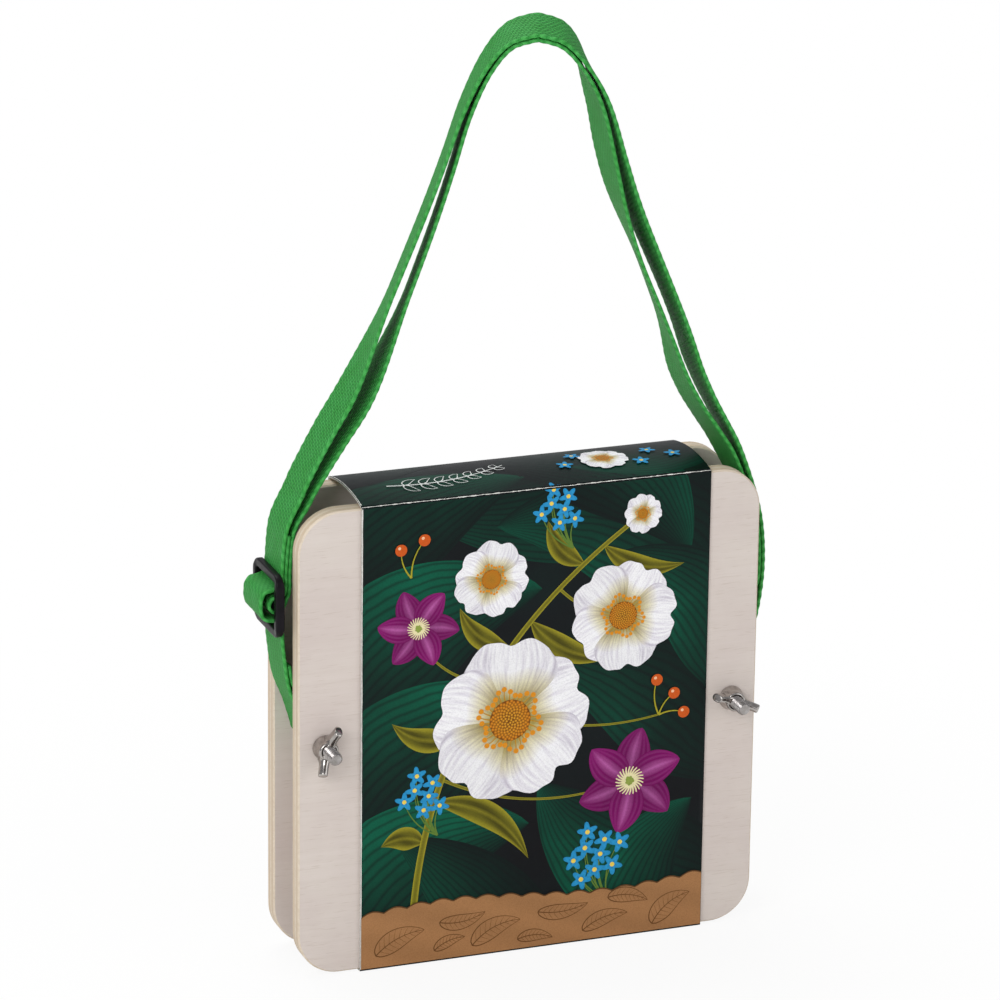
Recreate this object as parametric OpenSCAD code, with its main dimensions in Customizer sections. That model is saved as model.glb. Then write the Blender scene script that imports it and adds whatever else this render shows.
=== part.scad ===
// Flower press: two plywood boards on two coach bolts with wing nuts, a stack of cards and blotting
// sheets between them, a printed card sleeve round the middle and a webbing carrying strap whose two
// ends go round the bolts. X is across the boards, -Y is the front with the wing nuts, Z is up.
// The origin is under the middle of the sleeve, on the surface that the press stands on.

/* [Boards] */
// Width of each board
board_w = 180; // [160:1:260]
// Height of each board
board_h = 180; // [160:1:260]
// Thickness of each board
board_t = 7; // [5:0.5:12]
// Radius of the boards' corners
corner_r = 16; // [10:1:30]
// Sanded bevel along the boards' edges
edge_ease = 0.6; // [0.2:0.1:1.5]

/* [Stack] */
// Number of levels that flowers are pressed in
level_count = 5; // [3:1:7]
// Space between the cards' sides and the webbing round the bolts
sheet_clear = 5.9; // [4:0.1:20]
// Height of the cards and blotting sheets
sheet_h = 140; // [100:1:150]
// Thickness of a corrugated card
card_t = 2; // [1:0.1:4]
// Thickness of a blotting sheet
blotter_t = 0.9; // [0.5:0.1:1.5]
// Space left for flowers between the two blotting sheets of a level
level_gap = 0.2; // [0.1:0.05:0.5]

/* [Bolts] */
// Shank diameter
bolt_d = 5; // [4:0.5:8]
// Length under the head
bolt_len = 50; // [46:1:70]
// Distance of a bolt's axis from the side of the board
bolt_inset = 10; // [9:0.5:14]
// Diameter of the domed head
bolt_head_d = 11; // [9:0.5:16]
// Height of the domed head
bolt_head_h = 2.8; // [2:0.1:4]
// Length of the square neck under the head
bolt_neck_h = 3.2; // [2:0.1:4.5]
// Chamfer at the end of the thread
bolt_chamfer = 0.7; // [0.3:0.1:1]
// Radial play of a bolt in a board
bore_play = 0.25; // [0.1:0.05:0.5]

/* [Wing nuts] */
// Diameter of the hub where it meets the board
nut_base_d = 9.4; // [8:0.1:14]
// Diameter of the hub at its outer end
nut_top_d = 7.6; // [7:0.1:12]
// Height of the hub
nut_h = 6; // [4:0.1:8]
// Distance between the tips of the wings
wing_span = 18.6; // [16:0.1:19]
// Thickness of a wing
wing_t = 3.2; // [2:0.1:4]
// Breadth of a wing
wing_b = 4.4; // [3:0.1:5.5]
// Angle at which the wings lean forwards
wing_lean = 33; // [15:1:45]
// Radial play of the thread
thread_play = 0.05; // [0.02:0.01:0.1]
// Turn of the left nut's wings from level
nut_left_turn = 70; // [0:1:179]
// Turn of the right nut's wings from level
nut_right_turn = -21; // [-90:1:90]

/* [Sleeve] */
// Space between a turning wing nut and the card sleeve
nut_clear = 0.9; // [0.5:0.1:20]
// How far the sleeve sits to the right of the middle
sleeve_shift = 1.8; // [0:0.1:2]
// Thickness of the sleeve's card
sleeve_t = 0.5; // [0.3:0.1:1]
// Play between the sleeve and the boards
sleeve_play = 0.3; // [0.2:0.1:1]
// Height by which the sleeve's top panel bows up
sleeve_bow = 2.2; // [0:0.1:3]

/* [Strap] */
// Width of the webbing
strap_w = 20; // [15:0.5:21]
// Thickness of the webbing
strap_t = 1.3; // [1:0.1:1.6]
// Height of the strap's top above the bolts
strap_reach = 260; // [220:1:320]
// How far the strap stands out from the side of the boards
strap_out = 6; // [5.5:0.1:7]
// How far the strap's top leans to the right
strap_lean = 6; // [0:0.5:10]
// Angle by which the webbing is turned at the top of the strap
strap_twist_angle = 19; // [0:1:25]
// Angle by which the strap's top slopes down to the front
strap_slope_angle = 11; // [0:1:15]
// Least space between the two layers of webbing
layer_gap = 0.3; // [0.2:0.05:0.5]
// Extra space between the layers where they stand furthest apart
layer_sag = 5; // [0:0.5:6]

/* [Slider] */
// Width of the three-bar slider
slider_w = 28; // [27:0.5:32]
// Height of the slider
slider_h = 24; // [22:0.5:28]
// Thickness of the slider
slider_t = 2.6; // [2:0.1:3]
// Breadth of the slider's bars
slider_bar = 3.2; // [2.5:0.1:3.6]
// Breadth of the slider's two rails
slider_rail = 3.2; // [2:0.1:3.4]
// Distance of the slider from the side of the boards
slider_standoff = 4; // [4:0.1:5]
// Height of the slider's middle above the bolts
slider_lift = 53.5; // [48:0.1:58]
// How far the bight over the middle bar stands out past the sewn loop
bight_slack = 1.9; // [1:0.1:3]
// Length of the sewn tail above the slider's middle
tail_len = 26; // [22:0.5:30]

/* [Hidden] */
CARDS = [for (i = [1 : level_count + 1]) str("card_", i)];
BLOTTERS = [for (i = [1 : 2 * level_count]) str("blotter_", i)];

// Fineness of round parts and of the webbing's curves
fine = 48;
curve_steps = 4;
// One overrun for every cut
cut = 1;

// Depth of the press from its named parts
gap = (level_count + 1) * card_t + 2 * level_count * blotter_t + level_count * level_gap;
depth = 2 * board_t + gap;
front_y = -depth / 2;
back_y = depth / 2;

// Heights of the boards and bolts above the ground
board_z = sleeve_t + sleeve_play;
board_top = board_z + board_h;
mid_z = board_z + board_h / 2;
bolt_x = board_w / 2 - bolt_inset;

// The sleeve fills the space between the two wing nuts' circles
sleeve_w = 2 * (bolt_x - wing_span / 2 - nut_clear - sleeve_shift);
strap_spread = board_w / 2 + strap_out;

// The webbing bends over a short stretch above the boards, high enough to lie over the sleeve's roof
bend_clear = 5.5;
bend_play = 1.5;
bend_half = strap_w / 2 + bend_play;
bend_z = board_top + strap_w / 2 + bend_clear;
bend_low = bend_z - bend_half;
bend_high = bend_z + bend_half;
apex_z = mid_z + strap_reach;

// Play between the webbing and what it goes round
wrap_play = 0.3;
pass_play = 0.15;
wrap_r = bolt_d / 2 + wrap_play + strap_t / 2;

// The cards and sheets lie between the webbing's two wraps
sheet_w = 2 * (bolt_x - wrap_r - strap_t / 2 - sheet_clear);

// Slider's middle, and the webbing's places against it
slider_x = board_w / 2 + slider_standoff + slider_t / 2;
slider_z = mid_z + slider_lift;
pass_in = slider_t / 2 + strap_t / 2 + pass_play;
layer_pitch = strap_t + pass_play;
bar_r = norm([slider_t / 2, slider_bar / 2]) + pass_play + strap_t / 2;
bight_out = bar_r + strap_t + bight_slack;
slot_top = slider_h / 2 - slider_bar;

// Outer face of the right leg below the bend: share of the way from the bolt's wrap out to the spread,
// share of the height from the bolt
leg_low_shares = [[0.33, 0.119], [0.758, 0.262], [1, 0.449], [0.984, 0.629], [0.742, 0.794]];
// Share of the spread at the bend's lower end, middle and upper end
bend_shares = [0.898, 0.838, 0.77];
// Outer face of a leg above the bend: share of the spread, share of the height up to the top
leg_high_shares = [[0.688, 0.096], [0.577, 0.258], [0.479, 0.412], [0.4, 0.541], [0.333, 0.661],
                   [0.267, 0.791], [0.19, 0.903], [0.105, 0.975]];
// Where the layers start to come apart: share of the height from the bolt up to the bend. Where they
// stand furthest apart and where they would meet again, past the top: shares of the height from the
// bend up to the top.
part_share = 0.63;
widest_share = 0.12;
meet_share = 1.1;
// Way of the inner layer from the bolt up to the outer layer, in shares of the wrap's radius
wrap_shares = [[-1, 0.3], [-0.85, 1.2], [-0.15, 2.4], [0.9, 3.8], [1.9, 5.3]];
// Left leg down to its bolt, in the same shares
left_low_shares = [[3.1, 6.2], [1.9, 3], [1, 0]];
// Passing layer above and below the slider: share of its distance from the slider's middle plane,
// share of the slider's height
above_shares = [[1.8, 1.15], [1, 0.5]];
below_shares = [[1, -0.5], [1.2, -0.75]];
// Bight over the middle bar: share of its reach, share of the slots' height
bight_shares = [[0.8, 0.55], [1, 0], [0.8, -0.55]];
// Sewn end beside the upper slot: layers in from the passing one, share of the slots' height
slot_shares = [[2, 0.8], [1.8, 0.47]];
// Sewn end against the middle bar on its way in and out, in shares of the radius round the bar
turn_shares = [[-1.28, 0.55], [-1, 0]];
rise_shares = [[-0.68, 1.1], [-1.13, 1.6]];
// Shares of the strap's upper part between which the left and the right leg turn
turn_start_share = 0.03;
turn_end_shares = [0.34, 1];

// Point of a Catmull-Rom curve between p1 and p2
function curve_point(p0, p1, p2, p3, t) =
    (2 * p1 + (p2 - p0) * t + (2 * p0 - 5 * p1 + 4 * p2 - p3) * t * t
     + (3 * p1 - p0 - 3 * p2 + p3) * t * t * t) / 2;

// Smooth path through a list of points, with a few steps between neighbours
function smooth(pts, steps = curve_steps) =
    let (last = len(pts) - 1)
    [for (i = [0 : last - 1], k = [0 : steps - 1])
        curve_point(pts[max(i - 1, 0)], pts[i], pts[i + 1], pts[min(i + 2, last)], k / steps),
     pts[last]];

// Unit vector along the path at point i, and the unit vector square to it on the left
function along(path, i) =
    let (d = path[min(i + 1, len(path) - 1)] - path[max(i - 1, 0)])
    d / norm(d);
function aside(path, i) = let (d = along(path, i)) [-d.y, d.x];

// Path moved sideways by a distance that may change along it
function moved(path, side) =
    [for (i = [0 : len(path) - 1]) path[i] + aside(path, i) * (is_list(side) ? side[i] : side)];

function reversed(list) = [for (i = [len(list) - 1 : -1 : 0]) list[i]];
function mirrored(path) = [for (p = path) [-p.x, p.y]];
function part_of(list, first, last) = [for (i = [first : last]) list[i]];

// Outer face of the strap's right half from the bolt over the bend up to the top; the ends of the bend
// are at known points of the smoothed line
wrap_edge = bolt_x + wrap_r + strap_t / 2;
leg_low = concat(
    [[wrap_edge, mid_z]],
    [for (s = leg_low_shares)
        [wrap_edge + (strap_spread - wrap_edge) * s.x, mid_z + (bend_low - mid_z) * s.y]]);
leg_bend = [for (k = [0 : 2])
    [strap_spread * bend_shares[k], bend_low + (bend_high - bend_low) * k / 2]];
leg_high = [for (s = leg_high_shares)
    [strap_spread * s.x, bend_high + (apex_z - bend_high) * s.y]];
half_line = smooth(concat(leg_low, leg_bend, leg_high, [[0, apex_z]]));
foot_at = len(leg_low) * curve_steps;
crown_at = foot_at + 2 * curve_steps;

// Share of the strap's upper part at height z, nought at the bend and one at the top
function upper_share(z) = max(0, (z - bend_high) / (apex_z - bend_high));
// Outer face from the right bolt over the top to the left one
over_line = [for (p = concat(half_line,
                             reversed(mirrored(part_of(half_line, 0, len(half_line) - 2)))))
    [p.x + strap_lean * upper_share(p.y), p.y]];
over_end = len(over_line) - 1;
// Share of the way from a to b that z has come, eased at both ends
function eased(a, b, z) = (1 - cos(180 * min(1, max(0, (z - a) / (b - a))))) / 2;
// Space between the layers, widest a little above the bend
part_z = mid_z + (bend_low - mid_z) * part_share;
widest_z = bend_high + (apex_z - bend_high) * widest_share;
meet_z = bend_high + (apex_z - bend_high) * meet_share;
layer_space = [for (p = over_line)
    layer_gap + layer_sag * eased(part_z, widest_z, p.y) * (1 - eased(widest_z, meet_z, p.y))];
// Lines through the middle of each layer
outer_over = moved(over_line, strap_t / 2);
inner_over = moved(over_line, [for (s = layer_space) strap_t * 1.5 + s]);

// Right anchor: down as the inner layer, round the bolt, and up again as the outer layer
function by_bolt(s) = [bolt_x + wrap_r * s.x, mid_z + wrap_r * s.y];
wrap_arc = [for (a = [0 : -15 : -180]) by_bolt([cos(a), sin(a)])];
wrap_points = [for (s = wrap_shares) by_bolt(s)];
inner_from = 3 * curve_steps;
anchor_right_line = concat(
    reversed(part_of(inner_over, inner_from + 1, foot_at)),
    reversed(smooth(concat(wrap_points, [inner_over[inner_from]]))),
    reversed(wrap_arc),
    part_of(outer_over, 1, foot_at));

// Left leg, written as its mirror image: the layer that passes through the slider
function by_slider(u, v) = [slider_x + u, slider_z + v];
function by_pass(s) = by_slider(-pass_in * s.x, slider_h * s.y);
leg_top = smooth(concat([outer_over[crown_at - curve_steps], outer_over[foot_at]],
                        [for (s = above_shares) by_pass(s)]), 2 * curve_steps);
slot_in = (slot_top + bar_r + strap_t / 2) / 2;
pass_turn = smooth(concat(
    [for (s = above_shares) by_pass(s)],
    [by_slider(-pass_in, slot_top - strap_t / 2), by_slider(0, slot_in)],
    [for (s = bight_shares) by_slider(bight_out * s.x, slot_top * s.y)],
    [by_slider(0, -slot_in), by_slider(-pass_in, strap_t / 2 - slot_top)],
    [for (s = below_shares) by_pass(s)]));
leg_beside = part_of(leg_top, 2 * curve_steps, len(leg_top) - 1);
pass_line = concat(leg_beside, part_of(pass_turn, curve_steps + 1, len(pass_turn) - 1));

// Left anchor: on down, round the bolt and up again to the cut end, which is sewn to the first layer
left_low = smooth(concat([by_pass(below_shares[1])], [for (s = left_low_shares) by_bolt(s)]));
left_fold = moved(left_low, -strap_t - layer_gap);
fold_to = curve_steps / 2;
anchor_left_line = concat(
    part_of(left_low, 0, len(left_low) - 2),
    wrap_arc,
    smooth(concat(part_of(wrap_points, 0, len(wrap_points) - 2), [left_fold[curve_steps]])),
    reversed(part_of(left_fold, fold_to, curve_steps - 1)));

// Sewn end: the short tail down to the slider's middle bar, round it, and up again as the inner layer
tail_top = slider_z + tail_len;
function above_tail(p) = max(0, (p.y - tail_top) / (bend_low - tail_top));
tail_path = [for (p = moved(leg_beside, -layer_pitch)) if (p.y < tail_top) p];
end_path = moved(leg_beside, [for (p = leg_beside)
    -2 * layer_pitch + (2 * layer_pitch - strap_t - layer_space[foot_at]) * eased(0, 1, above_tail(p))]);
function beside_slot(layers, up) = by_slider(-pass_in - layers * layer_pitch, slot_top * up);
end_turn = smooth(concat([for (s = slot_shares) beside_slot(s.x, s.y)],
                         [for (s = turn_shares) by_slider(bar_r * s.x, bar_r * s.y)]));
end_round = [for (a = [195 : 15 : 450]) by_slider(bar_r * cos(a), bar_r * sin(a))];
end_rise = smooth(concat([for (s = rise_shares) by_slider(bar_r * s.x, bar_r * s.y)],
                         [beside_slot(1, slot_shares[0].y)]));
sewn_line = concat(tail_path, reversed(end_rise), reversed(end_round), reversed(end_turn),
                   reversed(part_of(end_path, 1, len(end_path) - 1)),
                   mirrored([inner_over[over_end - foot_at]]));

// The whole length of webbing as one line, from the sewn end's cut to the left anchor's cut. Each of
// its parts starts on the last point of the one before, so their end faces meet.
SEWN = 0; LEFT_IN = 1; TOP_IN = 2; RIGHT_IN = 3; RIGHT_ANCHOR = 4;
RIGHT_OUT = 5; TOP_OUT = 6; LEFT_OUT = 7; PASS = 8; LEFT_ANCHOR = 9;
strap_parts = [
    mirrored(sewn_line),
    reversed(part_of(inner_over, over_end - crown_at, over_end - foot_at)),
    reversed(part_of(inner_over, crown_at, over_end - crown_at)),
    reversed(part_of(inner_over, foot_at, crown_at)),
    anchor_right_line,
    part_of(outer_over, foot_at, crown_at),
    part_of(outer_over, crown_at, over_end - crown_at),
    part_of(outer_over, over_end - crown_at, over_end - foot_at),
    mirrored(pass_line),
    mirrored(anchor_left_line)];
strap_line = concat([strap_parts[0][0]],
                    [for (part = strap_parts, i = [1 : len(part) - 1]) part[i]]);
function start_of(k) = k == 0 ? 0 : start_of(k - 1) + len(strap_parts[k - 1]) - 1;

// Part k of the webbing, flat and of even width
strap_left_edge = moved(strap_line, strap_t / 2);
strap_right_edge = moved(strap_line, -strap_t / 2);
module webbing(k) {
    rotate([90, 0, 0])
        linear_extrude(strap_w, center = true)
            polygon(concat(part_of(strap_left_edge, start_of(k), start_of(k + 1)),
                           reversed(part_of(strap_right_edge, start_of(k), start_of(k + 1)))));
}

// Place, across and outward directions of the webbing over the top, where it is turned and slopes
function sway_at(z) = strap_twist_angle
    * pow(max(0, upper_share(z) - turn_start_share) / (1 - turn_start_share), 2);
function arch_place(p) = [p.x, -(p.x - strap_lean) * sin(sway_at(p.y)), p.y];
function turn_at(p) = strap_twist_angle
    * eased(turn_start_share, turn_end_shares[p.x < strap_lean ? 0 : 1], upper_share(p.y));
function slope_at(z) = strap_slope_angle * pow(upper_share(z), 3);
function unit(v) = v / norm(v);
function arch_frame(i) =
    let (t = unit(arch_place(strap_line[i + 1]) - arch_place(strap_line[i - 1])),
         a = turn_at(strap_line[i]),
         across = [sin(a), cos(a), tan(slope_at(strap_line[i].y))],
         w = unit(across - (across * t) * t))
    [w, cross(w, t)];

// Part k over the top as one closed shell: four corners to a ring, and a cap at each end
module arched_webbing(k) {
    last = start_of(k + 1) - start_of(k);
    corners = [for (i = [start_of(k) : start_of(k + 1)])
        let (f = arch_frame(i), p = arch_place(strap_line[i]))
        for (c = [[-1, -1], [1, -1], [1, 1], [-1, 1]])
            p + f[0] * c.x * strap_w / 2 + f[1] * c.y * strap_t / 2];
    sides = [for (i = [0 : last - 1], k = [0 : 3])
        let (a = 4 * i + k, b = 4 * i + (k + 1) % 4)
        for (face = [[a, b, b + 4], [a, b + 4, a + 4]]) face];
    polyhedron(corners, concat(sides, [[3, 2, 1, 0]], [[for (k = [0 : 3]) 4 * last + k]]));
}

// Board with round corners and a sanded bevel, lying with its middle at the origin, square to Y
module eased_board() {
    t = board_t / 2;
    e = edge_ease;
    half_w = board_w / 2;
    half_h = board_h / 2;
    bar_profile = function (half)
        [[-half, -t + e], [-half + e, -t], [half - e, -t], [half, -t + e],
         [half, t - e], [half - e, t], [-half + e, t], [-half, t - e]];
    linear_extrude(board_h - 2 * corner_r, center = true)
        polygon(bar_profile(half_w));
    rotate([0, 90, 0])
        linear_extrude(board_w - 2 * corner_r, center = true)
            polygon(bar_profile(half_h));
    for (sx = [-1, 1], sz = [-1, 1])
        translate([sx * (half_w - corner_r), 0, sz * (half_h - corner_r)])
            rotate([90, 0, 0])
                rotate_extrude($fn = 2 * fine)
                    polygon([[0, -t], [corner_r - e, -t], [corner_r, -t + e],
                             [corner_r, t - e], [corner_r - e, t], [0, t]]);
}

// Round hole for a bolt on each side of a board
module bolt_holes() {
    for (sx = [-1, 1])
        translate([sx * bolt_x, 0, 0])
            rotate([90, 0, 0])
                cylinder(h = board_t + 2 * cut, r = bolt_d / 2 + bore_play, center = true, $fn = fine);
}

module front_board() {
    color("#d6cbc3")
        translate([0, front_y + board_t / 2, mid_z])
            difference() {
                eased_board();
                bolt_holes();
            }
}

// The back board has square pockets that hold the necks of the bolts
module back_board() {
    pocket = bolt_d + 2 * bore_play;
    color("#c9bcb0")
        translate([0, back_y - board_t / 2, mid_z])
            difference() {
                eased_board();
                bolt_holes();
                for (sx = [-1, 1])
                    translate([sx * bolt_x - pocket / 2, board_t / 2 - bolt_neck_h, -pocket / 2])
                        cube([pocket, bolt_neck_h + cut, pocket]);
            }
}

// Coach bolt with its head on the back board: dome, square neck, round shank and chamfered end
module bolt(x) {
    dome_r = (pow(bolt_head_d / 2, 2) + pow(bolt_head_h, 2)) / (2 * bolt_head_h);
    dome_a = asin(bolt_head_d / 2 / dome_r);
    color("#b9babb")
        translate([x, back_y, mid_z])
            rotate([90, 0, 0]) {
                rotate_extrude($fn = fine)
                    polygon(concat(
                        [for (k = [0 : 8]) let (a = dome_a * k / 8)
                            [dome_r * sin(a), dome_r - bolt_head_h - dome_r * cos(a)]],
                        [[bolt_d / 2, 0], [bolt_d / 2, bolt_len - bolt_chamfer],
                         [bolt_d / 2 - bolt_chamfer, bolt_len], [0, bolt_len]]));
                translate([-bolt_d / 2, -bolt_d / 2, 0])
                    cube([bolt_d, bolt_d, bolt_neck_h]);
            }
}

// Wing nut: tapered round hub and two bars that lean forwards, trimmed to one round outline
module wing_nut(x, turn) {
    step = nut_h / 6;
    lip = (nut_base_d - nut_top_d) / 4;
    reach = wing_span / 2;
    root = nut_top_d / 2 - wing_t / 2;
    color("#c3c2c0")
        translate([x, front_y, mid_z])
            rotate([90, 0, 0])
                difference() {
                    union() {
                        rotate_extrude($fn = fine)
                            polygon([[0, 0], [nut_base_d / 2 - lip, 0], [nut_base_d / 2, lip],
                                     [nut_base_d / 2, step], [nut_top_d / 2, 3 * step],
                                     [nut_top_d / 2, nut_h - lip], [nut_top_d / 2 - lip, nut_h],
                                     [0, nut_h]]);
                        intersection() {
                            rotate([0, 0, turn])
                                for (side = [0, 180])
                                    rotate([0, 0, side])
                                        translate([root, 0, nut_h / 2])
                                            rotate([0, 90 - wing_lean, 0])
                                                wing_bar(reach);
                            cylinder(h = 2 * nut_h + reach, r = reach, $fn = 2 * fine);
                        }
                    }
                    translate([0, 0, -cut])
                        cylinder(h = 2 * nut_h + reach, r = bolt_d / 2 + thread_play, $fn = fine);
                }
}

// Bar of a wing: an upright oval section
module wing_bar(length) {
    flat = wing_b - wing_t;
    linear_extrude(length)
        union() {
            translate([-flat / 2, -wing_t / 2])
                square([flat, wing_t]);
            for (side = [-1, 1])
                translate([side * flat / 2, 0])
                    circle(d = wing_t, $fn = fine);
        }
}

// Depth of one level with its card
level_pitch = card_t + 2 * blotter_t + level_gap;

// Flat sheet between the boards with its back face at y_back
module sheet(y_back, thick) {
    translate([-sheet_w / 2, y_back - thick, mid_z - sheet_h / 2])
        cube([sheet_w, thick, sheet_h]);
}

// Card i, with a blotting sheet on each side that faces a level
module card(i) {
    color("#b08a62")
        sheet(gap / 2 - (i - 1) * level_pitch, card_t);
}

// Blotting sheets come in pairs: an odd one lies behind its level, an even one in front of it
module blotter(i) {
    level = ceil(i / 2);
    in_level = (i - 1) % 2;
    color("#efeae0")
        sheet(gap / 2 - (level - 1) * level_pitch - card_t - in_level * (blotter_t + level_gap),
              blotter_t);
}

// The sleeve is one band of card, creased at the press's four long edges
sleeve_front_y = front_y - sleeve_play;
sleeve_back_y = back_y + sleeve_play;
sleeve_roof_z = board_top + sleeve_play;
module sleeve_upright(y) {
    translate([sleeve_shift - sleeve_w / 2, y, sleeve_t])
        cube([sleeve_w, sleeve_t, sleeve_roof_z - sleeve_t]);
}

module sleeve_front() {
    color("#1e3c31")
        sleeve_upright(sleeve_front_y - sleeve_t);
}

module sleeve_back() {
    color("#1e3c31")
        sleeve_upright(sleeve_back_y);
}

module sleeve_bottom() {
    color("#1e3c31")
        translate([sleeve_shift - sleeve_w / 2, sleeve_front_y - sleeve_t, 0])
            cube([sleeve_w, sleeve_back_y - sleeve_front_y + 2 * sleeve_t, sleeve_t]);
}

// The roof panel bows up between the two upper creases
module sleeve_top() {
    half = (sleeve_back_y - sleeve_front_y) / 2 + sleeve_t;
    rise = function (s) sleeve_bow * (1 - s * s);
    shares = [for (k = [-8 : 8]) k / 8];
    lower = [for (s = shares) [half * s, rise(s)]];
    upper = [for (s = shares) [half * s, rise(s) + sleeve_t]];
    color("#2c4a3f")
        translate([sleeve_shift - sleeve_w / 2, 0, sleeve_roof_z])
            rotate([90, 0, 90])
                linear_extrude(sleeve_w)
                    polygon(concat(lower, reversed(upper)));
}

module strap_loop_outer() {
    color("#3c9446")
        arched_webbing(TOP_OUT);
}

module strap_loop_inner() {
    color("#348a3e")
        arched_webbing(TOP_IN);
}

// The two layers of each leg where they bend when the strap is laid over
module strap_bend_right() {
    color("#3c9446") {
        webbing(RIGHT_OUT);
        webbing(RIGHT_IN);
    }
}

module strap_bend_left() {
    color("#3c9446") {
        webbing(LEFT_OUT);
        webbing(LEFT_IN);
    }
}

module strap_anchor_right() {
    color("#348a3e")
        webbing(RIGHT_ANCHOR);
}

module strap_anchor_left() {
    color("#348a3e")
        webbing(LEFT_ANCHOR);
}

module strap_slider_pass() {
    color("#3c9446")
        webbing(PASS);
}

module strap_sewn_end() {
    color("#348a3e")
        webbing(SEWN);
}

// Three-bar slider with rounded corners and two slots
module strap_slider() {
    slot_h = (slider_h - 3 * slider_bar) / 2;
    slot_w = slider_w - 2 * slider_rail;
    corner = slider_rail;
    color("#26222a")
        translate([-slider_x, 0, slider_z])
            rotate([90, 0, 90])
                linear_extrude(slider_t, center = true)
                    difference() {
                        union() {
                            square([slider_w - 2 * corner, slider_h], center = true);
                            square([slider_w, slider_h - 2 * corner], center = true);
                            for (sx = [-1, 1], sy = [-1, 1])
                                translate([sx * (slider_w / 2 - corner), sy * (slider_h / 2 - corner)])
                                    circle(r = corner, $fn = fine);
                        }
                        for (side = [-1, 1])
                            translate([0, side * (slider_bar + slot_h) / 2])
                                square([slot_w, slot_h], center = true);
                    }
}

back_board();
front_board();
bolt(-bolt_x);  // bolt_left
bolt(bolt_x);  // bolt_right
wing_nut(-bolt_x, nut_left_turn);  // wing_nut_left
wing_nut(bolt_x, nut_right_turn);  // wing_nut_right
for (i = [1 : level_count + 1])
    card(i);
for (i = [1 : 2 * level_count])
    blotter(i);
sleeve_front();
sleeve_top();
sleeve_bottom();
sleeve_back();
strap_loop_outer();
strap_loop_inner();
strap_bend_right();
strap_bend_left();
strap_anchor_right();
strap_anchor_left();
strap_slider_pass();
strap_sewn_end();
strap_slider();
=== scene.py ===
"""Flower press: two plywood boards on coach bolts with wing nuts, cards and blotting paper between them,
a printed card sleeve, and a webbing carrying strap with a three-bar slider."""
import math
import bmesh
import bpy
import numpy as np
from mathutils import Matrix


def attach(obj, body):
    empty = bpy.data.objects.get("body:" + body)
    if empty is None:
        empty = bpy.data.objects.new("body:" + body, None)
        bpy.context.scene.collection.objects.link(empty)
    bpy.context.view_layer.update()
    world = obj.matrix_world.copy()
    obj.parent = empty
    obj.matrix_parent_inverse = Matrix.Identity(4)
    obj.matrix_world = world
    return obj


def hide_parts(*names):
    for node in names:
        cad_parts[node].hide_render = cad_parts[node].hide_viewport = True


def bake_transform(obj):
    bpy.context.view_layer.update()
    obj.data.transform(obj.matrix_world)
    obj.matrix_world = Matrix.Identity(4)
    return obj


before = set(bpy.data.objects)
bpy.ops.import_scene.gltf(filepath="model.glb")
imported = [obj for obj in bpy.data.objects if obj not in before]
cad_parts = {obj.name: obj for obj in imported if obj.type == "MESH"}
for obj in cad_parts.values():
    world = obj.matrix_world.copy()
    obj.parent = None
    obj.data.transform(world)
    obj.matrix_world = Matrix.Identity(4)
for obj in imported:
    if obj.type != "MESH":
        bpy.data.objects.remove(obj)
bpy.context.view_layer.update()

# Camera
# A long lens looks at the press from the front left and a little above, as in the photograph. Sizes are in
# millimetres and are turned to metres by MM.
MM = 0.001
azimuth, elevation, roll = (math.radians(a) for a in (-20.588, 18.823, 0.709))
back = np.array([math.sin(azimuth) * math.cos(elevation),
                 -math.cos(azimuth) * math.cos(elevation), math.sin(elevation)])
right = np.array([math.cos(azimuth), math.sin(azimuth), 0.0])
up = np.cross(back, right)
turned_right = math.cos(roll) * right + math.sin(roll) * up
turned_up = math.cos(roll) * up - math.sin(roll) * right
aim, distance = np.array([-6.095, 0.0, 172.0]) * MM, 2057.9 * MM
# The focal length was fitted in pixels of a picture 1000 pixels wide
focal_px, picture_px = 5611.2, 1000
lens_data = bpy.data.cameras.new("camera")
lens_data.sensor_width = 36.0
lens_data.lens = focal_px / picture_px * lens_data.sensor_width
lens_data.clip_end = 20.0
camera = bpy.data.objects.new("camera", lens_data)


def stood(holder, across, upwards, backwards, spot):
    """Puts a camera or a lamp into the scene at a spot, its own three axes along the given ways."""
    place = np.eye(4)
    place[:3] = np.stack([across, upwards, backwards, spot], -1)
    holder.matrix_world = place.T.tolist()
    bpy.context.scene.collection.objects.link(holder)


stood(camera, turned_right, turned_up, back, aim + back * distance)
bpy.context.scene.camera = camera
bpy.context.scene.view_settings.view_transform = "Standard"


# Floor and background
# A pale matt floor that takes a soft shadow, in a white room. Both look plain white to the camera away from
# the press, and the room lights it evenly from all sides.


def colour(code):
    """sRGB hex code to linear colour: below 0.04045 divided by 12.92, else the 2.4th power."""
    parts = np.array([int(code[k:k + 2], 16) / 255 for k in (1, 3, 5)])
    linear = np.where(parts <= 0.04045, parts / 12.92, ((parts + 0.055) / 1.055) ** 2.4)
    return (*linear.tolist(), 1.0)


def add(tree, kind, feeds=None, stops=(), **settings):
    """Adds a node: settings are its properties. Feeds are its inputs, each a value, an output to link, or a
    node whose first live output is linked. Stops are a colour ramp's, each a place and a hex colour."""
    node = tree.nodes.new("ShaderNode" + kind)
    for key, value in settings.items():
        setattr(node, key, value)
    for key, value in (feeds or {}).items():
        if isinstance(value, bpy.types.Node):
            value = next(output for output in value.outputs if output.enabled)
        if isinstance(value, bpy.types.NodeSocket):
            tree.links.new(value, node.inputs[key])
        else:
            node.inputs[key].default_value = value
    for _ in stops[2:]:
        node.color_ramp.elements.new(0.5)
    for number, (place, code) in enumerate(stops):
        element = node.color_ramp.elements[number]
        element.position = place
        element.color = colour(code)
    return node


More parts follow.
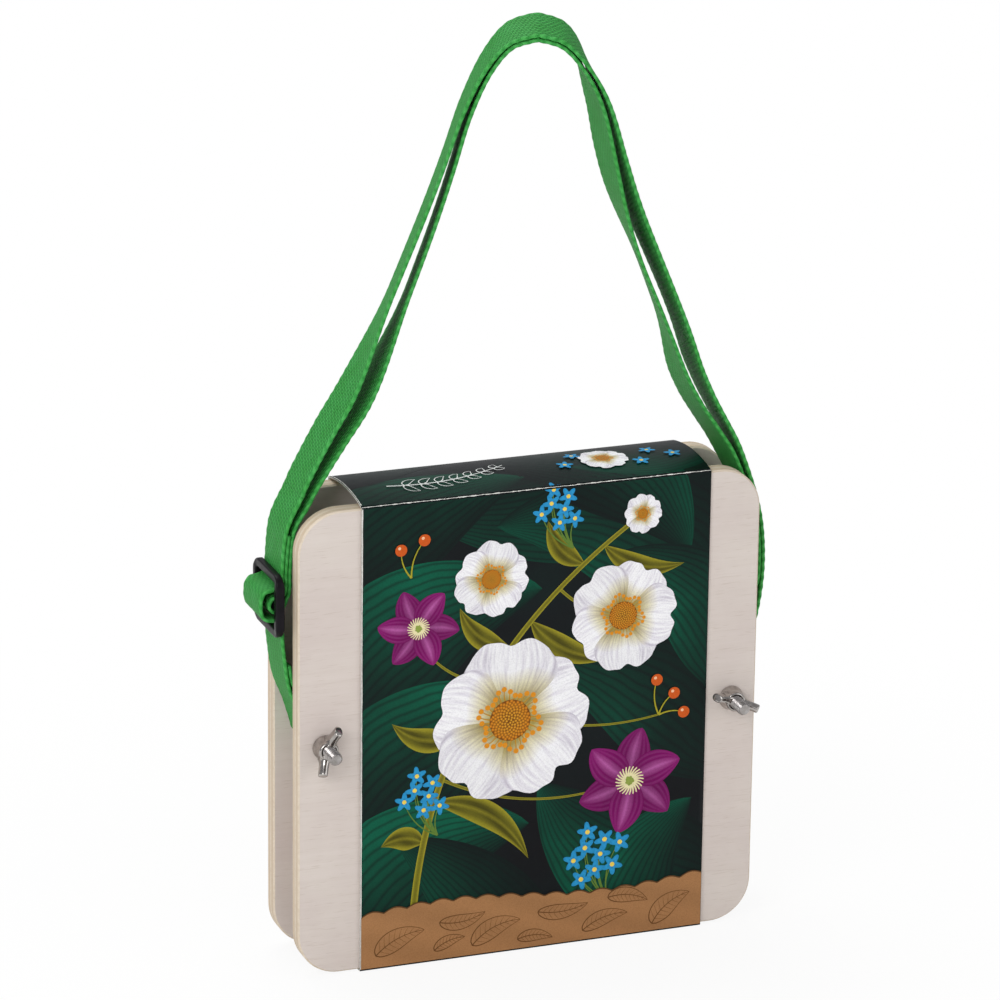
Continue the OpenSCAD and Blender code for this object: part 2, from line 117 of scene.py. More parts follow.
def new_material(name):
    """Empty node material and its tree."""
    material = bpy.data.materials.new(name)
    material.use_nodes = True
    material.node_tree.nodes.clear()
    return material, material.node_tree


def seen_straight(tree):
    """One where a ray comes from the camera, straight or through something clear."""
    rays = add(tree, "LightPath").outputs
    return add(tree, "Math", {0: rays["Is Camera Ray"], 1: rays["Is Transmission Ray"]}, operation="MAXIMUM")


def new_object(name, verts, faces, smooth=True):
    """Object at the origin with the given vertices and faces."""
    mesh = bpy.data.meshes.new(name)
    mesh.from_pydata(np.asarray(verts, float).reshape(-1, 3).tolist(), [],
                     faces if isinstance(faces, list) else np.asarray(faces).tolist())
    mesh.polygons.foreach_set("use_smooth", [smooth] * len(mesh.polygons))
    mesh.update()
    piece = bpy.data.objects.new(name, mesh)
    bpy.context.scene.collection.objects.link(piece)
    return piece


floor = new_object("floor", [(-3, -3, 0), (3, -3, 0), (3, 6, 0), (-3, 6, 0)], [(0, 1, 2, 3)], False)
floor_paint, tree = new_material("matt_white_floor")
paint = add(tree, "BsdfPrincipled", {"Base Color": colour("#f4f4f2"), "Roughness": 0.9,
                                     "Specular IOR Level": 0.0})
glow = add(tree, "Emission", {"Color": (1, 1, 1, 1), "Strength": 1.0})
# The white share grows from the press's shadow outwards
far = add(tree, "VectorMath", {0: add(tree, "TexCoord").outputs["Object"]}, operation="LENGTH")
far = add(tree, "MapRange", {0: far, 1: 0.05, 2: 0.38, 3: 0.9, 4: 1.0}, interpolation_type="SMOOTHSTEP")
share = add(tree, "Math", {0: seen_straight(tree), 1: far}, operation="MULTIPLY")
mixed = add(tree, "MixShader", {0: share, 1: paint, 2: glow})
add(tree, "OutputMaterial", {0: mixed})
floor.data.materials.append(floor_paint)

world = bpy.data.worlds.new("white_room")
bpy.context.scene.world = world
world.use_nodes = True
tree = world.node_tree
tree.nodes.clear()
dim = add(tree, "Background", {"Color": colour("#fbfcff"), "Strength": 0.42})
white = add(tree, "Background", {"Color": (1, 1, 1, 1), "Strength": 1.0})
mixed = add(tree, "MixShader", {0: seen_straight(tree), 1: dim, 2: white})
add(tree, "OutputWorld", {0: mixed})

# Studio light
# Three large soft boxes: the main one high on the left, one on the right, and one above and behind.


def unit(vectors):
    """The same ways at length one."""
    return vectors / np.linalg.norm(vectors, axis=-1, keepdims=True)


for name, spot, size, power in (("left_box", (-1.05, -0.95, 0.95), 0.9, 12.3),
                                ("right_box", (1.5, -1.6, 0.8), 1.4, 8.4),
                                ("top_box", (-0.2, 0.7, 1.7), 1.2, 15.0)):
    lamp = bpy.data.lights.new(name, "AREA")
    lamp.shape = "SQUARE"
    lamp.size = size
    lamp.energy = power
    # Each looks at a point halfway up the press
    away = unit(np.array(spot) - [0.0, 0.0, 0.15])
    side = unit(np.cross([0.0, 0.0, 1.0], away))
    stood(bpy.data.objects.new(name, lamp), side, np.cross(away, side), away, spot)

# Front and back board
# Poplar plywood, 7 mm of five plies, sawn to a rounded square, with the edges eased by sanding and left
# unvarnished. The face veneers' grain lies level; the cross plies show as darker bands round the edge.
plywood, tree = new_material("poplar_plywood")
at = add(tree, "TexCoord").outputs["Object"]
axes = add(tree, "SeparateXYZ", {0: at}).outputs
depth = add(tree, "Math", {0: axes[1]}, operation="ABSOLUTE")
# The boards' faces stand these distances either side of the press's middle; ply is the share between them
gap_half, stack_half = 11.0, 18.0
ply = add(tree, "MapRange", {0: depth, 1: gap_half * MM, 2: stack_half * MM})
cross_ply = add(tree, "ValToRGB", {0: ply}, [
    (0, "#000000"), (0.143, "#ffffff"), (0.371, "#000000"), (0.629, "#ffffff"), (0.857, "#000000")])
glue = add(tree, "ValToRGB", {0: ply}, [
    (0, "#000000"), (0.132, "#ffffff"), (0.152, "#000000"), (0.362, "#ffffff"), (0.380, "#000000"),
    (0.620, "#ffffff"), (0.638, "#000000"), (0.848, "#ffffff"), (0.868, "#000000")])
for ramp in (cross_ply, glue):
    ramp.color_ramp.interpolation = "CONSTANT"
# A noise's scale is its cells to the metre. Grain streaks are 1.4 mm wide and 50 mm long, pores 0.35 mm by
# 6 mm; they lie level, but stand upright in the cross plies
grain_at, pore_at = (add(tree, "Mix", {
    0: cross_ply, 4: add(tree, "Mapping", {"Vector": at, "Scale": (along, over, over)}),
    5: add(tree, "Mapping", {"Vector": at, "Scale": (over, over, along)})}, data_type="VECTOR")
    for along, over in ((20, 700), (160, 2800)))
grain = add(tree, "TexNoise", {"Vector": grain_at, "Scale": 1.0, "Detail": 4.0, "Roughness": 0.6,
                               "Distortion": 0.3})
pores = add(tree, "TexNoise", {"Vector": pore_at, "Scale": 1.0, "Detail": 2.0})
clouds = add(tree, "TexNoise", {"Vector": at, "Scale": 38.0, "Detail": 3.0})
face_wood = add(tree, "ValToRGB", {0: grain}, [(0.2, "#dbd2cc"), (0.5, "#ded6d0"), (0.8, "#e1d9d4")])
patchy = add(tree, "Mix", {0: clouds, 6: colour("#ece4e4"), 7: colour("#fffefa")}, data_type="RGBA")
face_wood = add(tree, "Mix", {0: 1.0, 6: face_wood, 7: patchy}, data_type="RGBA", blend_type="MULTIPLY")
edge_wood = add(tree, "ValToRGB", {0: grain}, [(0.2, "#d0bea8"), (0.5, "#d9cab7"), (0.8, "#e1d4c3")])
cross_wood = add(tree, "ValToRGB", {0: grain}, [(0.2, "#c6ae93"), (0.5, "#d0bda5"), (0.8, "#d9c9b4")])
edge_wood = add(tree, "Mix", {0: cross_ply, 6: edge_wood, 7: cross_wood}, data_type="RGBA")
edge_wood = add(tree, "Mix", {0: glue, 6: edge_wood, 7: colour("#c3ab8f")}, data_type="RGBA")
facing = add(tree, "SeparateXYZ", {0: add(tree, "TexCoord").outputs["Normal"]}).outputs[1]
facing = add(tree, "Math", {0: facing}, operation="ABSOLUTE")
on_face = add(tree, "MapRange", {0: facing, 1: 0.72, 2: 0.98})
wood = add(tree, "Mix", {0: on_face, 6: edge_wood, 7: face_wood}, data_type="RGBA")
specks = add(tree, "ValToRGB", {0: pores}, [(0.28, "#c9bba9"), (0.40, "#ffffff")])
wood = add(tree, "Mix", {0: 0.25, 6: wood, 7: specks}, data_type="RGBA", blend_type="MULTIPLY")
dull = add(tree, "MapRange", {0: pores, 3: 0.72, 4: 0.52})
relief = add(tree, "Math", {0: grain, 1: pores}, operation="ADD")
bump = add(tree, "Bump", {"Strength": 0.2, "Distance": 0.05 * MM, "Height": relief})
shade = add(tree, "BsdfPrincipled", {"Base Color": wood, "Roughness": dull, "Normal": bump, "IOR": 1.5,
                                     "Specular IOR Level": 0.25})
add(tree, "OutputMaterial", {0: shade})
for name in ("front_board", "back_board"):
    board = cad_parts[name]
    board.data.materials.clear()
    board.data.materials.append(plywood)

# Coach bolts
# M5 zinc-plated steel, 50 mm long: a domed head on the back board, a square neck drawn into the wood, a
# plain shank and a rolled thread of 0.8 mm pitch that ends in a chamfer at the front.


def hard_skin(name, film, tones, skin, dull, bump, finish):
    """Material whose colour drifts with a cloudy film, and whose fine skin dulls it and stands up from it.
    film and skin are a noise's scale and detail, dull the range of roughness, bump its strength and mm."""
    material, tree = new_material(name)
    at = add(tree, "TexCoord").outputs["Object"]
    film, skin = (add(tree, "TexNoise", {"Vector": at, "Scale": scale, "Detail": detail})
                  for scale, detail in (film, skin))
    tone = add(tree, "ValToRGB", {0: film}, tones)
    dull = add(tree, "MapRange", {0: skin, 1: 0.3, 2: 0.7, 3: dull[0], 4: dull[1]})
    bump = add(tree, "Bump", {"Strength": bump[0], "Distance": bump[1] * MM, "Height": skin})
    shade = add(tree, "BsdfPrincipled", {"Base Color": tone, "Roughness": dull, "Normal": bump, **finish})
    add(tree, "OutputMaterial", {0: shade})
    return material


# Zinc plating looks grey and cloudy, with fine scuffs of about 0.5 mm
zinc = hard_skin("zinc_plated_steel", (420.0, 3.0), [(0.3, "#8f8a87"), (0.5, "#a39e9c"), (0.7, "#b5b1b0")],
                 (1900.0, 4.0), (0.16, 0.3), (0.25, 0.03), {"Metallic": 1.0})


def grid_faces(rows, columns, wrap_rows=False, wrap_columns=False):
    """Quads of a grid of vertices, row after row; wrapping joins the last row or column to the first."""
    i = np.arange(rows if wrap_rows else rows - 1)[:, None]
    j = np.arange(columns if wrap_columns else columns - 1)[None, :]
    i2, j2 = (i + 1) % rows, (j + 1) % columns
    quads = np.stack(np.broadcast_arrays(i * columns + j, i * columns + j2,
                                         i2 * columns + j2, i2 * columns + j), axis=-1)
    return quads.reshape(-1, 4)


def shell(rings, ends="fan"):
    """Points and faces of a closed shell round rings of points, with quads between the rings. Each end has a
    fan round its middle, one flat face, or a strip of quads where a ring runs out and back beside itself."""
    rows, columns = rings.shape[:2]
    points = rings.reshape(-1, 3)
    faces = grid_faces(rows, columns, wrap_columns=True).tolist()
    last = (rows - 1) * columns
    if ends == "fan":
        points = np.concatenate([points, [rings[0].mean(0), rings[-1].mean(0)]])
        j, middle = np.arange(columns), np.full(columns, rows * columns)
        k = (j + 1) % columns
        fans = np.stack([middle, k, j, middle + 1, last + j, last + k], -1).reshape(-1, 3)
        return points, faces + fans.tolist()
    lid = [[*range(columns)]]
    if ends == "strip":
        lid = [[j, columns - 1 - j, columns - 2 - j, j + 1] for j in range(columns // 2 - 1)]
    return points, faces + [face[::-1] for face in lid] + [[v + last for v in face] for face in lid]


board_front, board_back = -stack_half, stack_half
bolt_x, bolt_z = 80.0, 90.8
bolt_tip = board_back - 50.0
head_r, head_h, under_head_r = 5.5, 2.8, 5.3
neck_half, neck_corner, shank_r = 2.5, 3.3, 2.45
thread_top, thread_r, thread_deep, pitch = -8.0, 2.48, 0.46, 0.8
tip_r, chamfer_rise, chamfer_long, end_r = 1.86, 0.62, 0.7, 1.82
sides = 40
# Along the axis from the dome's top to the tip; the radius is the dome's circle, the neck's square, the
# shank, then the thread: a triangle wave of the turn plus the way along, both in pitches
dome_r = (head_r ** 2 + head_h ** 2) / (2 * head_h)
dome = np.linspace(0.04, 1, 14) * math.asin(head_r / dome_r)
y_dome = board_back + head_h - dome_r * (1 - np.cos(dome))
y_neck = [17.97, 17.9, 15.3, 14.9]
y_shank = np.array([14.6, *np.linspace(14.4, thread_top, 12)])
y_thread = np.arange(thread_top - 0.05, bolt_tip - 0.001, -pitch / 12)
y = np.concatenate([y_dome, [board_back + 0.001], y_neck, y_shank, y_thread, [bolt_tip]])
turn = np.linspace(0, 2 * np.pi, sides, endpoint=False)
square = np.minimum(neck_half / np.maximum(np.abs(np.cos(turn)), np.abs(np.sin(turn))), neck_corner)
wave = (y_thread[:, None] / pitch + turn / (2 * np.pi)) % 1
ridge = np.clip(np.abs(wave - 0.5) * 2.5 - 0.1, 0, 1)
fade_in = np.clip((thread_top - y_thread) / 1.5, 0, 1)[:, None]
chamfer = np.clip((y_thread - bolt_tip) / chamfer_long, 0, 1)[:, None] * chamfer_rise + tip_r
even = np.ones(sides)
radius = np.concatenate([
    np.outer(dome_r * np.sin(dome), even), [under_head_r * even], np.tile(square, (len(y_neck), 1)),
    np.tile(shank_r, (len(y_shank), sides)), np.minimum(thread_r - thread_deep * ridge * fade_in, chamfer),
    [end_r * even]])
for side_name, sign in (("left", -1), ("right", 1)):
    rings = np.stack([sign * bolt_x + radius * np.cos(turn), np.broadcast_to(y[:, None], radius.shape),
                      bolt_z - radius * np.sin(turn)], axis=-1) * MM
    bolt = new_object("coach_bolt_" + side_name, *shell(rings[::-1]))
    bolt.data.materials.append(zinc)
    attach(bolt, "press_base")
    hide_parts("bolt_" + side_name)

# Wing nuts
# Cast zinc alloy, nickel bright: a round hub with a countersunk thread and two oval bars that lean
# forwards, each with a fillet at its root and a squared-off end.

# A bright cast skin mirrors the light boxes, a little rippled
nut_shine = hard_skin("bright_cast_zinc", (500.0, 3.0),
                      [(0.3, "#989390"), (0.5, "#aea9a5"), (0.7, "#c0bbb7")],
                      (1300.0, 3.0), (0.07, 0.17), (0.3, 0.05), {"Metallic": 1.0})


def outward(piece):
    """Turns the faces of an object's closed shells outwards."""
    mesh = bmesh.new()
    mesh.from_mesh(piece.data)
    bmesh.ops.recalc_face_normals(mesh, faces=mesh.faces)
    mesh.to_mesh(piece.data)
    mesh.free()
    return piece


def merged(name, parts, spot=(0, 0, 0)):
    """One object from closed shells, each of points in millimetres and faces, moved to a spot."""
    verts, faces, start = [], [], 0
    for points, quads in parts:
        verts.append((np.reshape(points, (-1, 3)) + spot) * MM)
        faces += [[int(v) + start for v in face] for face in quads]
        start += len(verts[-1])
    return outward(new_object(name, np.concatenate(verts), faces))


def oval(angle, wide, high, power):
    """Squarish oval: the cosine and the sine raised to a power below one, each with its sign kept."""
    return [np.sign(way) * np.abs(way) ** power * half
            for way, half in ((np.cos(angle), wide), (np.sin(angle), high))]


# Hub: closed profile of (radius, height above the board) turned round the axis
profile = np.array([(2.56, 0.5), (3.0, 0.02), (3.9, 0.0), (4.5, 0.12), (4.7, 0.5), (4.7, 0.95), (4.45, 1.5),
                    (4.1, 2.3), (3.85, 3.2), (3.8, 4.4), (3.8, 5.1), (3.68, 5.6), (3.4, 5.92), (3.05, 6.0),
                    (2.85, 5.9), (2.75, 5.5), (2.56, 5.2), (2.1, 4.9), (2.1, 1.0)])
turn = np.linspace(0, 2 * np.pi, 64, endpoint=False)
hub = np.stack([profile[:, None, 0] * np.cos(turn), -profile[:, None, 1] * np.ones_like(turn),
                profile[:, None, 0] * np.sin(turn)], axis=-1)
hub_part = hub, grid_faces(len(profile), len(turn), True, True)[:, ::-1]
# Bar: an oval carried outwards and forwards from the hub, wider at the root, its end drawn in over 0.55 mm
lean, bar_way, bar_end, bar_thick, bar_broad = math.radians(33), 7.6, 0.55, 1.6, 2.2
root_out, root_high, root_in, root_long, root_swell = 2.2, 3.0, 1.6, 0.9, 0.42
end_round, end_draw, end_keep = 0.56, 0.28, 0.72
way = np.concatenate([np.linspace(0.4, bar_way, 30),
                      bar_way + bar_end * np.sin(np.linspace(0.1, 1, 7) * np.pi / 2)])
flare = 1 + root_swell * np.exp(-(way - root_in).clip(0) / root_long)
tuck = np.sqrt(np.clip(1 - ((way - bar_way).clip(0) / end_round) ** 2, 0, 1)) * end_draw + end_keep
scale = (flare * tuck)[:, None]
thick, broad = oval(np.linspace(0, 2 * np.pi, 36, endpoint=False), bar_thick, bar_broad, 0.82)
bar_x = root_out + way[:, None] * math.cos(lean) - broad * scale * math.sin(lean)
bar_y = -(root_high + way[:, None] * math.sin(lean) + broad * scale * math.cos(lean))
bar_z = thick * scale
for side_name, sign, start_turn in (("left", -1, 70.0), ("right", 1, -21.0)):
    parts = [hub_part]
    for half_turn in (0, math.pi):
        angle = math.radians(start_turn) + half_turn
        bar = np.stack([bar_x * math.cos(angle) - bar_z * math.sin(angle), bar_y,
                        bar_x * math.sin(angle) + bar_z * math.cos(angle)], axis=-1)
        parts.append(shell(bar[:, ::-1]))
    nut = merged("wing_nut_casting_" + side_name, parts, (sign * bolt_x, board_front, bolt_z))
    nut.data.materials.append(nut_shine)
    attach(nut, "wing_nut_" + side_name)
    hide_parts("wing_nut_" + side_name)

# Corrugated cards
# Six sheets of single-wall card, 2 mm: two brown paper liners with a wavy flute of 3.2 mm pitch glued
# between them. The flutes lie level, so that moist air can leave the press at its two open sides.


def fibrous(tree, at, fibres, cloud_scale, tones, bump, finish):
    """Matt fibres: their noise and a cloudier one, in equal shares, choose the colour, and they stand up by
    the bump's strength and mm."""
    clouds = add(tree, "TexNoise", {"Vector": at, "Scale": cloud_scale, "Detail": 3.0})
    both = add(tree, "Math", {0: fibres, 1: clouds}, operation="ADD")
    both = add(tree, "Math", {0: both, 1: 0.5}, operation="MULTIPLY")
    tone = add(tree, "ValToRGB", {0: both}, tones)
    bump = add(tree, "Bump", {"Strength": bump[0], "Distance": bump[1] * MM, "Height": fibres})
    shade = add(tree, "BsdfPrincipled", {"Base Color": tone, "Normal": bump, **finish})
    add(tree, "OutputMaterial", {0: shade})


# Brown kraft liner, matt, with fibres 4 mm long and 1.1 mm wide that run level
kraft, tree = new_material("kraft_corrugated_card")
at = add(tree, "TexCoord").outputs["Object"]
fibre_at = add(tree, "Mapping", {"Vector": at, "Scale": (260, 900, 900)})
fibrous(tree, at, add(tree, "TexNoise", {"Vector": fibre_at, "Scale": 1.0, "Detail": 4.0}), 90.0,
        [(0.3, "#8f6d48"), (0.5, "#b08b62"), (0.7, "#c5a47b")], (0.4, 0.05),
        {"Roughness": 0.85, "Specular IOR Level": 0.25})

level_pitch, card_t, sheet_half = 4.0, 2.0, 70.0
liner_t, flute_t, flute_pitch = 0.28, 0.2, 3.2
# The flute stops a little inside the liners' edges
inset_z, inset_x = 0.3, 0.2
parts = []
# Liners: flat slabs, as a ring of four corners carried along X
for low in (-card_t / 2, card_t / 2 - liner_t):
    slab = [[(x, low + liner_t * up, sheet_half * hand) for up, hand in ((0, -1), (1, -1), (1, 1), (0, 1))]
            for x in (-sheet_half, sheet_half)]
    parts.append(shell(np.array(slab), "face"))
# Flute: y is a sine of the height, given its thickness across, carried along X
z = np.linspace(-sheet_half + inset_z, sheet_half - inset_z, 441)
wave = (card_t / 2 - liner_t - flute_t / 2) * np.sin(2 * np.pi * z / flute_pitch)
outline = np.concatenate([np.stack([wave + flute_t / 2, z], -1), np.stack([wave - flute_t / 2, z], -1)[::-1]])
flute = np.empty((2, len(outline), 3))
flute[..., 0] = np.array([[-1], [1]]) * (sheet_half - inset_x)
flute[..., 1:] = outline
parts.append(shell(flute, "strip"))
sheet_bodies = ["press_base", "sheets_2", "sheets_3", "sheets_4", "sheets_5", "front_board"]
for number in range(1, 7):
    mid_y = gap_half - (number - 1) * level_pitch - card_t / 2
    card = merged(f"corrugated_card_{number}", parts, (0, mid_y, bolt_z))
    card.data.polygons.foreach_set("use_smooth", [False] * len(card.data.polygons))
    card.data.materials.append(kraft)
    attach(card, sheet_bodies[number - 1])
    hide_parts(f"card_{number}")

# Blotting sheets
# Ten sheets of soft unsized cotton paper, 0.9 mm, cut square; they lie in pairs and take up the moisture.
# Off-white felted paper, quite matt, with fibres and clouds that only show close by
blotting, tree = new_material("cotton_blotting_paper")
at = add(tree, "TexCoord").outputs["Object"]
felt = add(tree, "TexNoise", {"Vector": at, "Scale": 1500.0, "Detail": 5.0, "Roughness": 0.7})
fibrous(tree, at, felt, 60.0, [(0.3, "#ddd6c8"), (0.5, "#ece7dc"), (0.7, "#f5f2ea")], (0.6, 0.08),
        {"Roughness": 0.95, "Specular IOR Level": 0.1})
for number in range(1, 11):
    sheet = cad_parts[f"blotter_{number}"]
    sheet.data.materials.clear()
    sheet.data.materials.append(blotting)

# Card sleeve
# One band of 0.5 mm solid white board round both boards, printed outside, laminated glossy and creased at
# the four long edges, where the film has cracked white. Its roof bows up; the back is lapped and glued.
sleeve_left, sleeve_right, sleeve_t, crease_r = -66.2, 69.8, 0.5, 0.45
sleeve_x = (sleeve_left + sleeve_right) / 2
sleeve_w = sleeve_right - sleeve_left
# Places of the card's middle line: wall_y is off the press's middle, the others are heights
wall_y, bottom_z, front_high, roof_z, roof_rise = 18.55, 0.25, 180.9, 181.35, 2.2
back_low, back_high, lap_low, lap_high = 0.35, 181.25, 164.8, 181.3
line_step = 2.5


def filled(points, step):
    """The same line with points at most a step apart: each stretch divided into equal parts."""
    rows = [points[:1]]
    for first, second in zip(points[:-1], points[1:]):
        count = max(1, int(math.ceil(np.linalg.norm(second - first) / step)))
        rows.append(first + (second - first) * (np.arange(1, count + 1) / count)[:, None])
    return np.concatenate(rows)


# Middle line of the card in (y, z): bottom, front and roof; then the back on its own. The roof's end is
# turned down over the back panel and glued to it
bow = np.linspace(-1, 1, 41)[1:-1]
fold = np.linspace(0, math.pi / 2, 7)
wrap_line = filled(np.concatenate([
    [[wall_y + 0.15, bottom_z], [crease_r - wall_y, bottom_z]],
    np.stack([-wall_y + crease_r * (1 - np.sin(fold)), bottom_z + crease_r * (1 - np.cos(fold))], -1),
    [[-wall_y, front_high]], np.stack([bow * wall_y, roof_z + roof_rise * (1 - bow ** 2)], -1),
    [[wall_y, roof_z]]]), line_step)
back_line = filled(np.array([[wall_y, back_low], [wall_y, back_high]]), line_step)
lap_y = wall_y + sleeve_t + 0.01
lap_line = filled(np.array([[lap_y, lap_low], [lap_y, lap_high]]), line_step)


def line_length(points):
    """Length along a line up to each of its points."""
    return np.concatenate([[0], np.cumsum(np.linalg.norm(np.diff(points, axis=0), axis=1))])


def turned_left(ways):
    """Ways in a plane, turned a quarter to the left."""
    return np.stack([-ways[..., 1], ways[..., 0]], -1)


def card_band(name, line, out_way):
    """Card of even thickness along a line in (y, z): at each place a ring of points round its section, half
    the thickness out and in along the way across the line."""
    across = np.linspace(-sleeve_w / 2, sleeve_w / 2, 69)
    top = np.stack([across, np.full_like(across, sleeve_t / 2)], -1)
    section = np.concatenate([top, top[::-1] * [1, -1]])
    rings = np.empty((len(line), len(section), 3))
    rings[..., 0] = sleeve_x + section[:, 0]
    rings[..., 1:] = line[:, None] + out_way[:, None] * section[:, 1:]
    points, faces = shell(rings * MM, "strip")
    # The outer side is printed and shaded smooth; the inside and the cut edges are bare board
    printed = np.zeros(len(faces), bool)
    rows, columns = len(line) - 1, len(section)
    printed[:rows * columns] = np.tile(np.arange(columns) < len(across) - 1, rows)
    piece = new_object(name, points, faces)
    piece.data.polygons.foreach_set("material_index", (~printed).astype(int))
    piece.data.polygons.foreach_set("use_smooth", printed)
    return outward(piece)


wrap_out = turned_left(unit(np.gradient(wrap_line, axis=0)))
wrap_out *= np.sign((wrap_out * (wrap_line - [0.0, bolt_z])).sum(1))[:, None]
back_out = np.tile([[1.0, 0.0]], (len(back_line), 1))


def laminated(tree, ink):
    """Ink under a gloss film: a faint halftone grain in the ink, a slightly wavy film over it."""
    at = add(tree, "TexCoord").outputs["Object"]
    dots = add(tree, "TexNoise", {"Vector": at, "Scale": 2200.0, "Detail": 2.0})
    dots = add(tree, "ValToRGB", {0: dots}, [(0.3, "#e4e4e4"), (0.6, "#ffffff")])
    ink = add(tree, "Mix", {0: 0.7, 6: ink, 7: dots}, data_type="RGBA", blend_type="MULTIPLY")
    wavy = add(tree, "TexNoise", {"Vector": at, "Scale": 45.0, "Detail": 2.0})
    bump = add(tree, "Bump", {"Strength": 0.25, "Distance": 0.5 * MM, "Height": wavy})
    scuff = add(tree, "TexNoise", {"Vector": at, "Scale": 300.0, "Detail": 4.0})
    dull = add(tree, "MapRange", {0: scuff, 3: 0.28, 4: 0.42})
    shade = add(tree, "BsdfPrincipled", {"Base Color": ink, "Roughness": dull, "Normal": bump,
                                         "Specular IOR Level": 0.12})
    add(tree, "OutputMaterial", {0: shade})


# The ground is a deep ink, black with a green cast in drifts of 40 mm, glossy under its film
print_card, tree = new_material("laminated_printed_card")
at = add(tree, "TexCoord").outputs["Object"]
drift = add(tree, "TexNoise", {"Vector": at, "Scale": 24.0, "Detail": 5.0})
laminated(tree, add(tree, "ValToRGB", {0: drift}, [(0.3, "#100f13"), (0.55, "#101719"), (0.75, "#0c231e")]))
# Bare board shows white and quite matt at the cut edges, inside, and where the film has gone
board_white, tree = new_material("uncoated_white_board")
at = add(tree, "TexCoord").outputs["Object"]
felt = add(tree, "TexNoise", {"Vector": at, "Scale": 900.0, "Detail": 4.0})
tone = add(tree, "ValToRGB", {0: felt}, [(0.3, "#cfccc6"), (0.6, "#e9e7e2")])
bump = add(tree, "Bump", {"Strength": 0.4, "Distance": 0.03 * MM, "Height": felt})
shade = add(tree, "BsdfPrincipled", {"Base Color": tone, "Roughness": 0.85, "Normal": bump})
add(tree, "OutputMaterial", {0: shade})
for name, line, out_way, body, nodes in (
        ("sleeve_card_wrap", wrap_line, wrap_out, "sleeve", ("sleeve_front", "sleeve_top", "sleeve_bottom")),
        ("sleeve_card_back", back_line, back_out, "press_base", ("sleeve_back",)),
        ("sleeve_card_lap", lap_line, back_out[:len(lap_line)], "press_base", ())):
    card = card_band(name, line, out_way)
    card.data.materials.append(print_card)
    card.data.materials.append(board_white)
    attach(card, body)
    if nodes:
        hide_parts(*nodes)

# Print on the sleeve
# Under the film: broad dark leaves, a branch of white dog roses and violet clematis, forget-me-nots, rose
# hips and a brown paper band with leaves in line. A design of its own, without any lettering.
# Each motif is a grid of points laid on the card, a few thousandths of a millimetre above the one before.
wrap_print = wrap_line + wrap_out * sleeve_t / 2
print_start = int(np.argmax(wrap_line[:, 0] < 0.001 - wall_y))
wrap_way = line_length(wrap_print) - line_length(wrap_print)[print_start]
front_top = float(wrap_way[np.argmax(wrap_line[:, 1] > front_high - 0.0001)])
roof_low = float(wrap_way[np.argmax(wrap_line[:, 1] > roof_z - 0.15)])
roof_top = float(wrap_way[-1])


def on_wrap(x, w, lift):
    """Point of the front or roof: x from the sleeve's left edge, w up the print, lift off the card."""
    y, z, out_y, out_z = (np.interp(w, wrap_way, column) for column in (*wrap_print.T, *wrap_out.T))
    return np.stack([sleeve_left + x, y + out_y * lift, z + out_z * lift], -1)


def on_back(x, w, lift):
    """Point of the back panel: x from its left edge seen from behind, w up from the bottom."""
    return np.stack([sleeve_right - x, wall_y + sleeve_t / 2 + lift + 0 * x, back_low + w], -1)


# The print ends a little inside the panels' edges and the creases
edge_gap, crease_gap, side_gap = 0.3, 0.1, 0.25
wrap_sheet = {"place": on_wrap, "lift": 0.01, "laid": [],
              "panels": ((edge_gap, front_top - crease_gap), (roof_low + crease_gap, roof_top - edge_gap))}
back_sheet = {"place": on_back, "lift": 0.01, "laid": [], "panels": ((edge_gap, lap_low - 0.2),)}
# Each motif lies a little above the last; in a stack of a few, each of them does
motif_rise, stack_rise, few = 0.002, 0.0006, 50


def lay(sheet, kind, grids, ink, u=0.0, v=0.0):
    """Lays a grid of (x, w) points, or a stack of such grids, in a kind of ink, with the motif's u and v."""
    grids = np.asarray(grids, float)
    x, w = np.moveaxis(grids.reshape(-1, *grids.shape[-3:]), -1, 0)
    count, rows, columns = x.shape
    quads = (grid_faces(rows, columns) + np.arange(count)[:, None, None] * rows * columns).reshape(-1, 4)
    inks = np.broadcast_to(np.asarray(ink, float), (*x.shape, 3))
    marks = np.stack(np.broadcast_arrays(u, v, x)[:2], -1)
    rise = np.arange(count)[:, None, None] * (stack_rise if count < few else 0.0)
    lift = sheet["lift"] + motif_rise + rise
    sheet["lift"] = lift.max()
    for low, high in sheet["panels"]:
        x_in, w_in = np.clip(x, side_gap, sleeve_w - side_gap), np.clip(w, low, high)
        flat_x, flat_w = x_in.ravel()[quads], w_in.ravel()[quads]
        # Twice the area, from the two diagonals; quads pressed flat at a panel's edge are left out
        area = ((flat_x[:, 2] - flat_x[:, 0]) * (flat_w[:, 3] - flat_w[:, 1])
                - (flat_x[:, 3] - flat_x[:, 1]) * (flat_w[:, 2] - flat_w[:, 0]))
        kept = np.where(area[:, None] < 0, quads[:, ::-1], quads)[np.abs(area) > 1e-4]
        sheet["laid"].append((kind, sheet["place"](x_in, w_in, lift), kept, inks, marks))


def rib_grid(line, widths, columns=7):
    """Grid along a line of (x, w) points, with half widths at each of them, and its u and v."""
    side = turned_left(unit(np.gradient(line, axis=-2)))
    v = np.linspace(-1, 1, columns)
    grid = line[..., None, :] + side[..., None, :] * (np.asarray(widths)[..., None] * v)[..., None]
    return grid, np.linspace(0, 1, line.shape[-2])[:, None], v[None, :]


def bent(start, end, bend, rows):
    """Line from start to end, pulled aside by a share of its length: a parabola."""
    start, end = (np.asarray(point, float)[..., None, :] for point in (start, end))
    u = np.linspace(0, 1, rows)[:, None]
    side = turned_left(end - start)
    return start + (end - start) * u + side * np.asarray(bend)[..., None, None] * 4 * u * (1 - u)


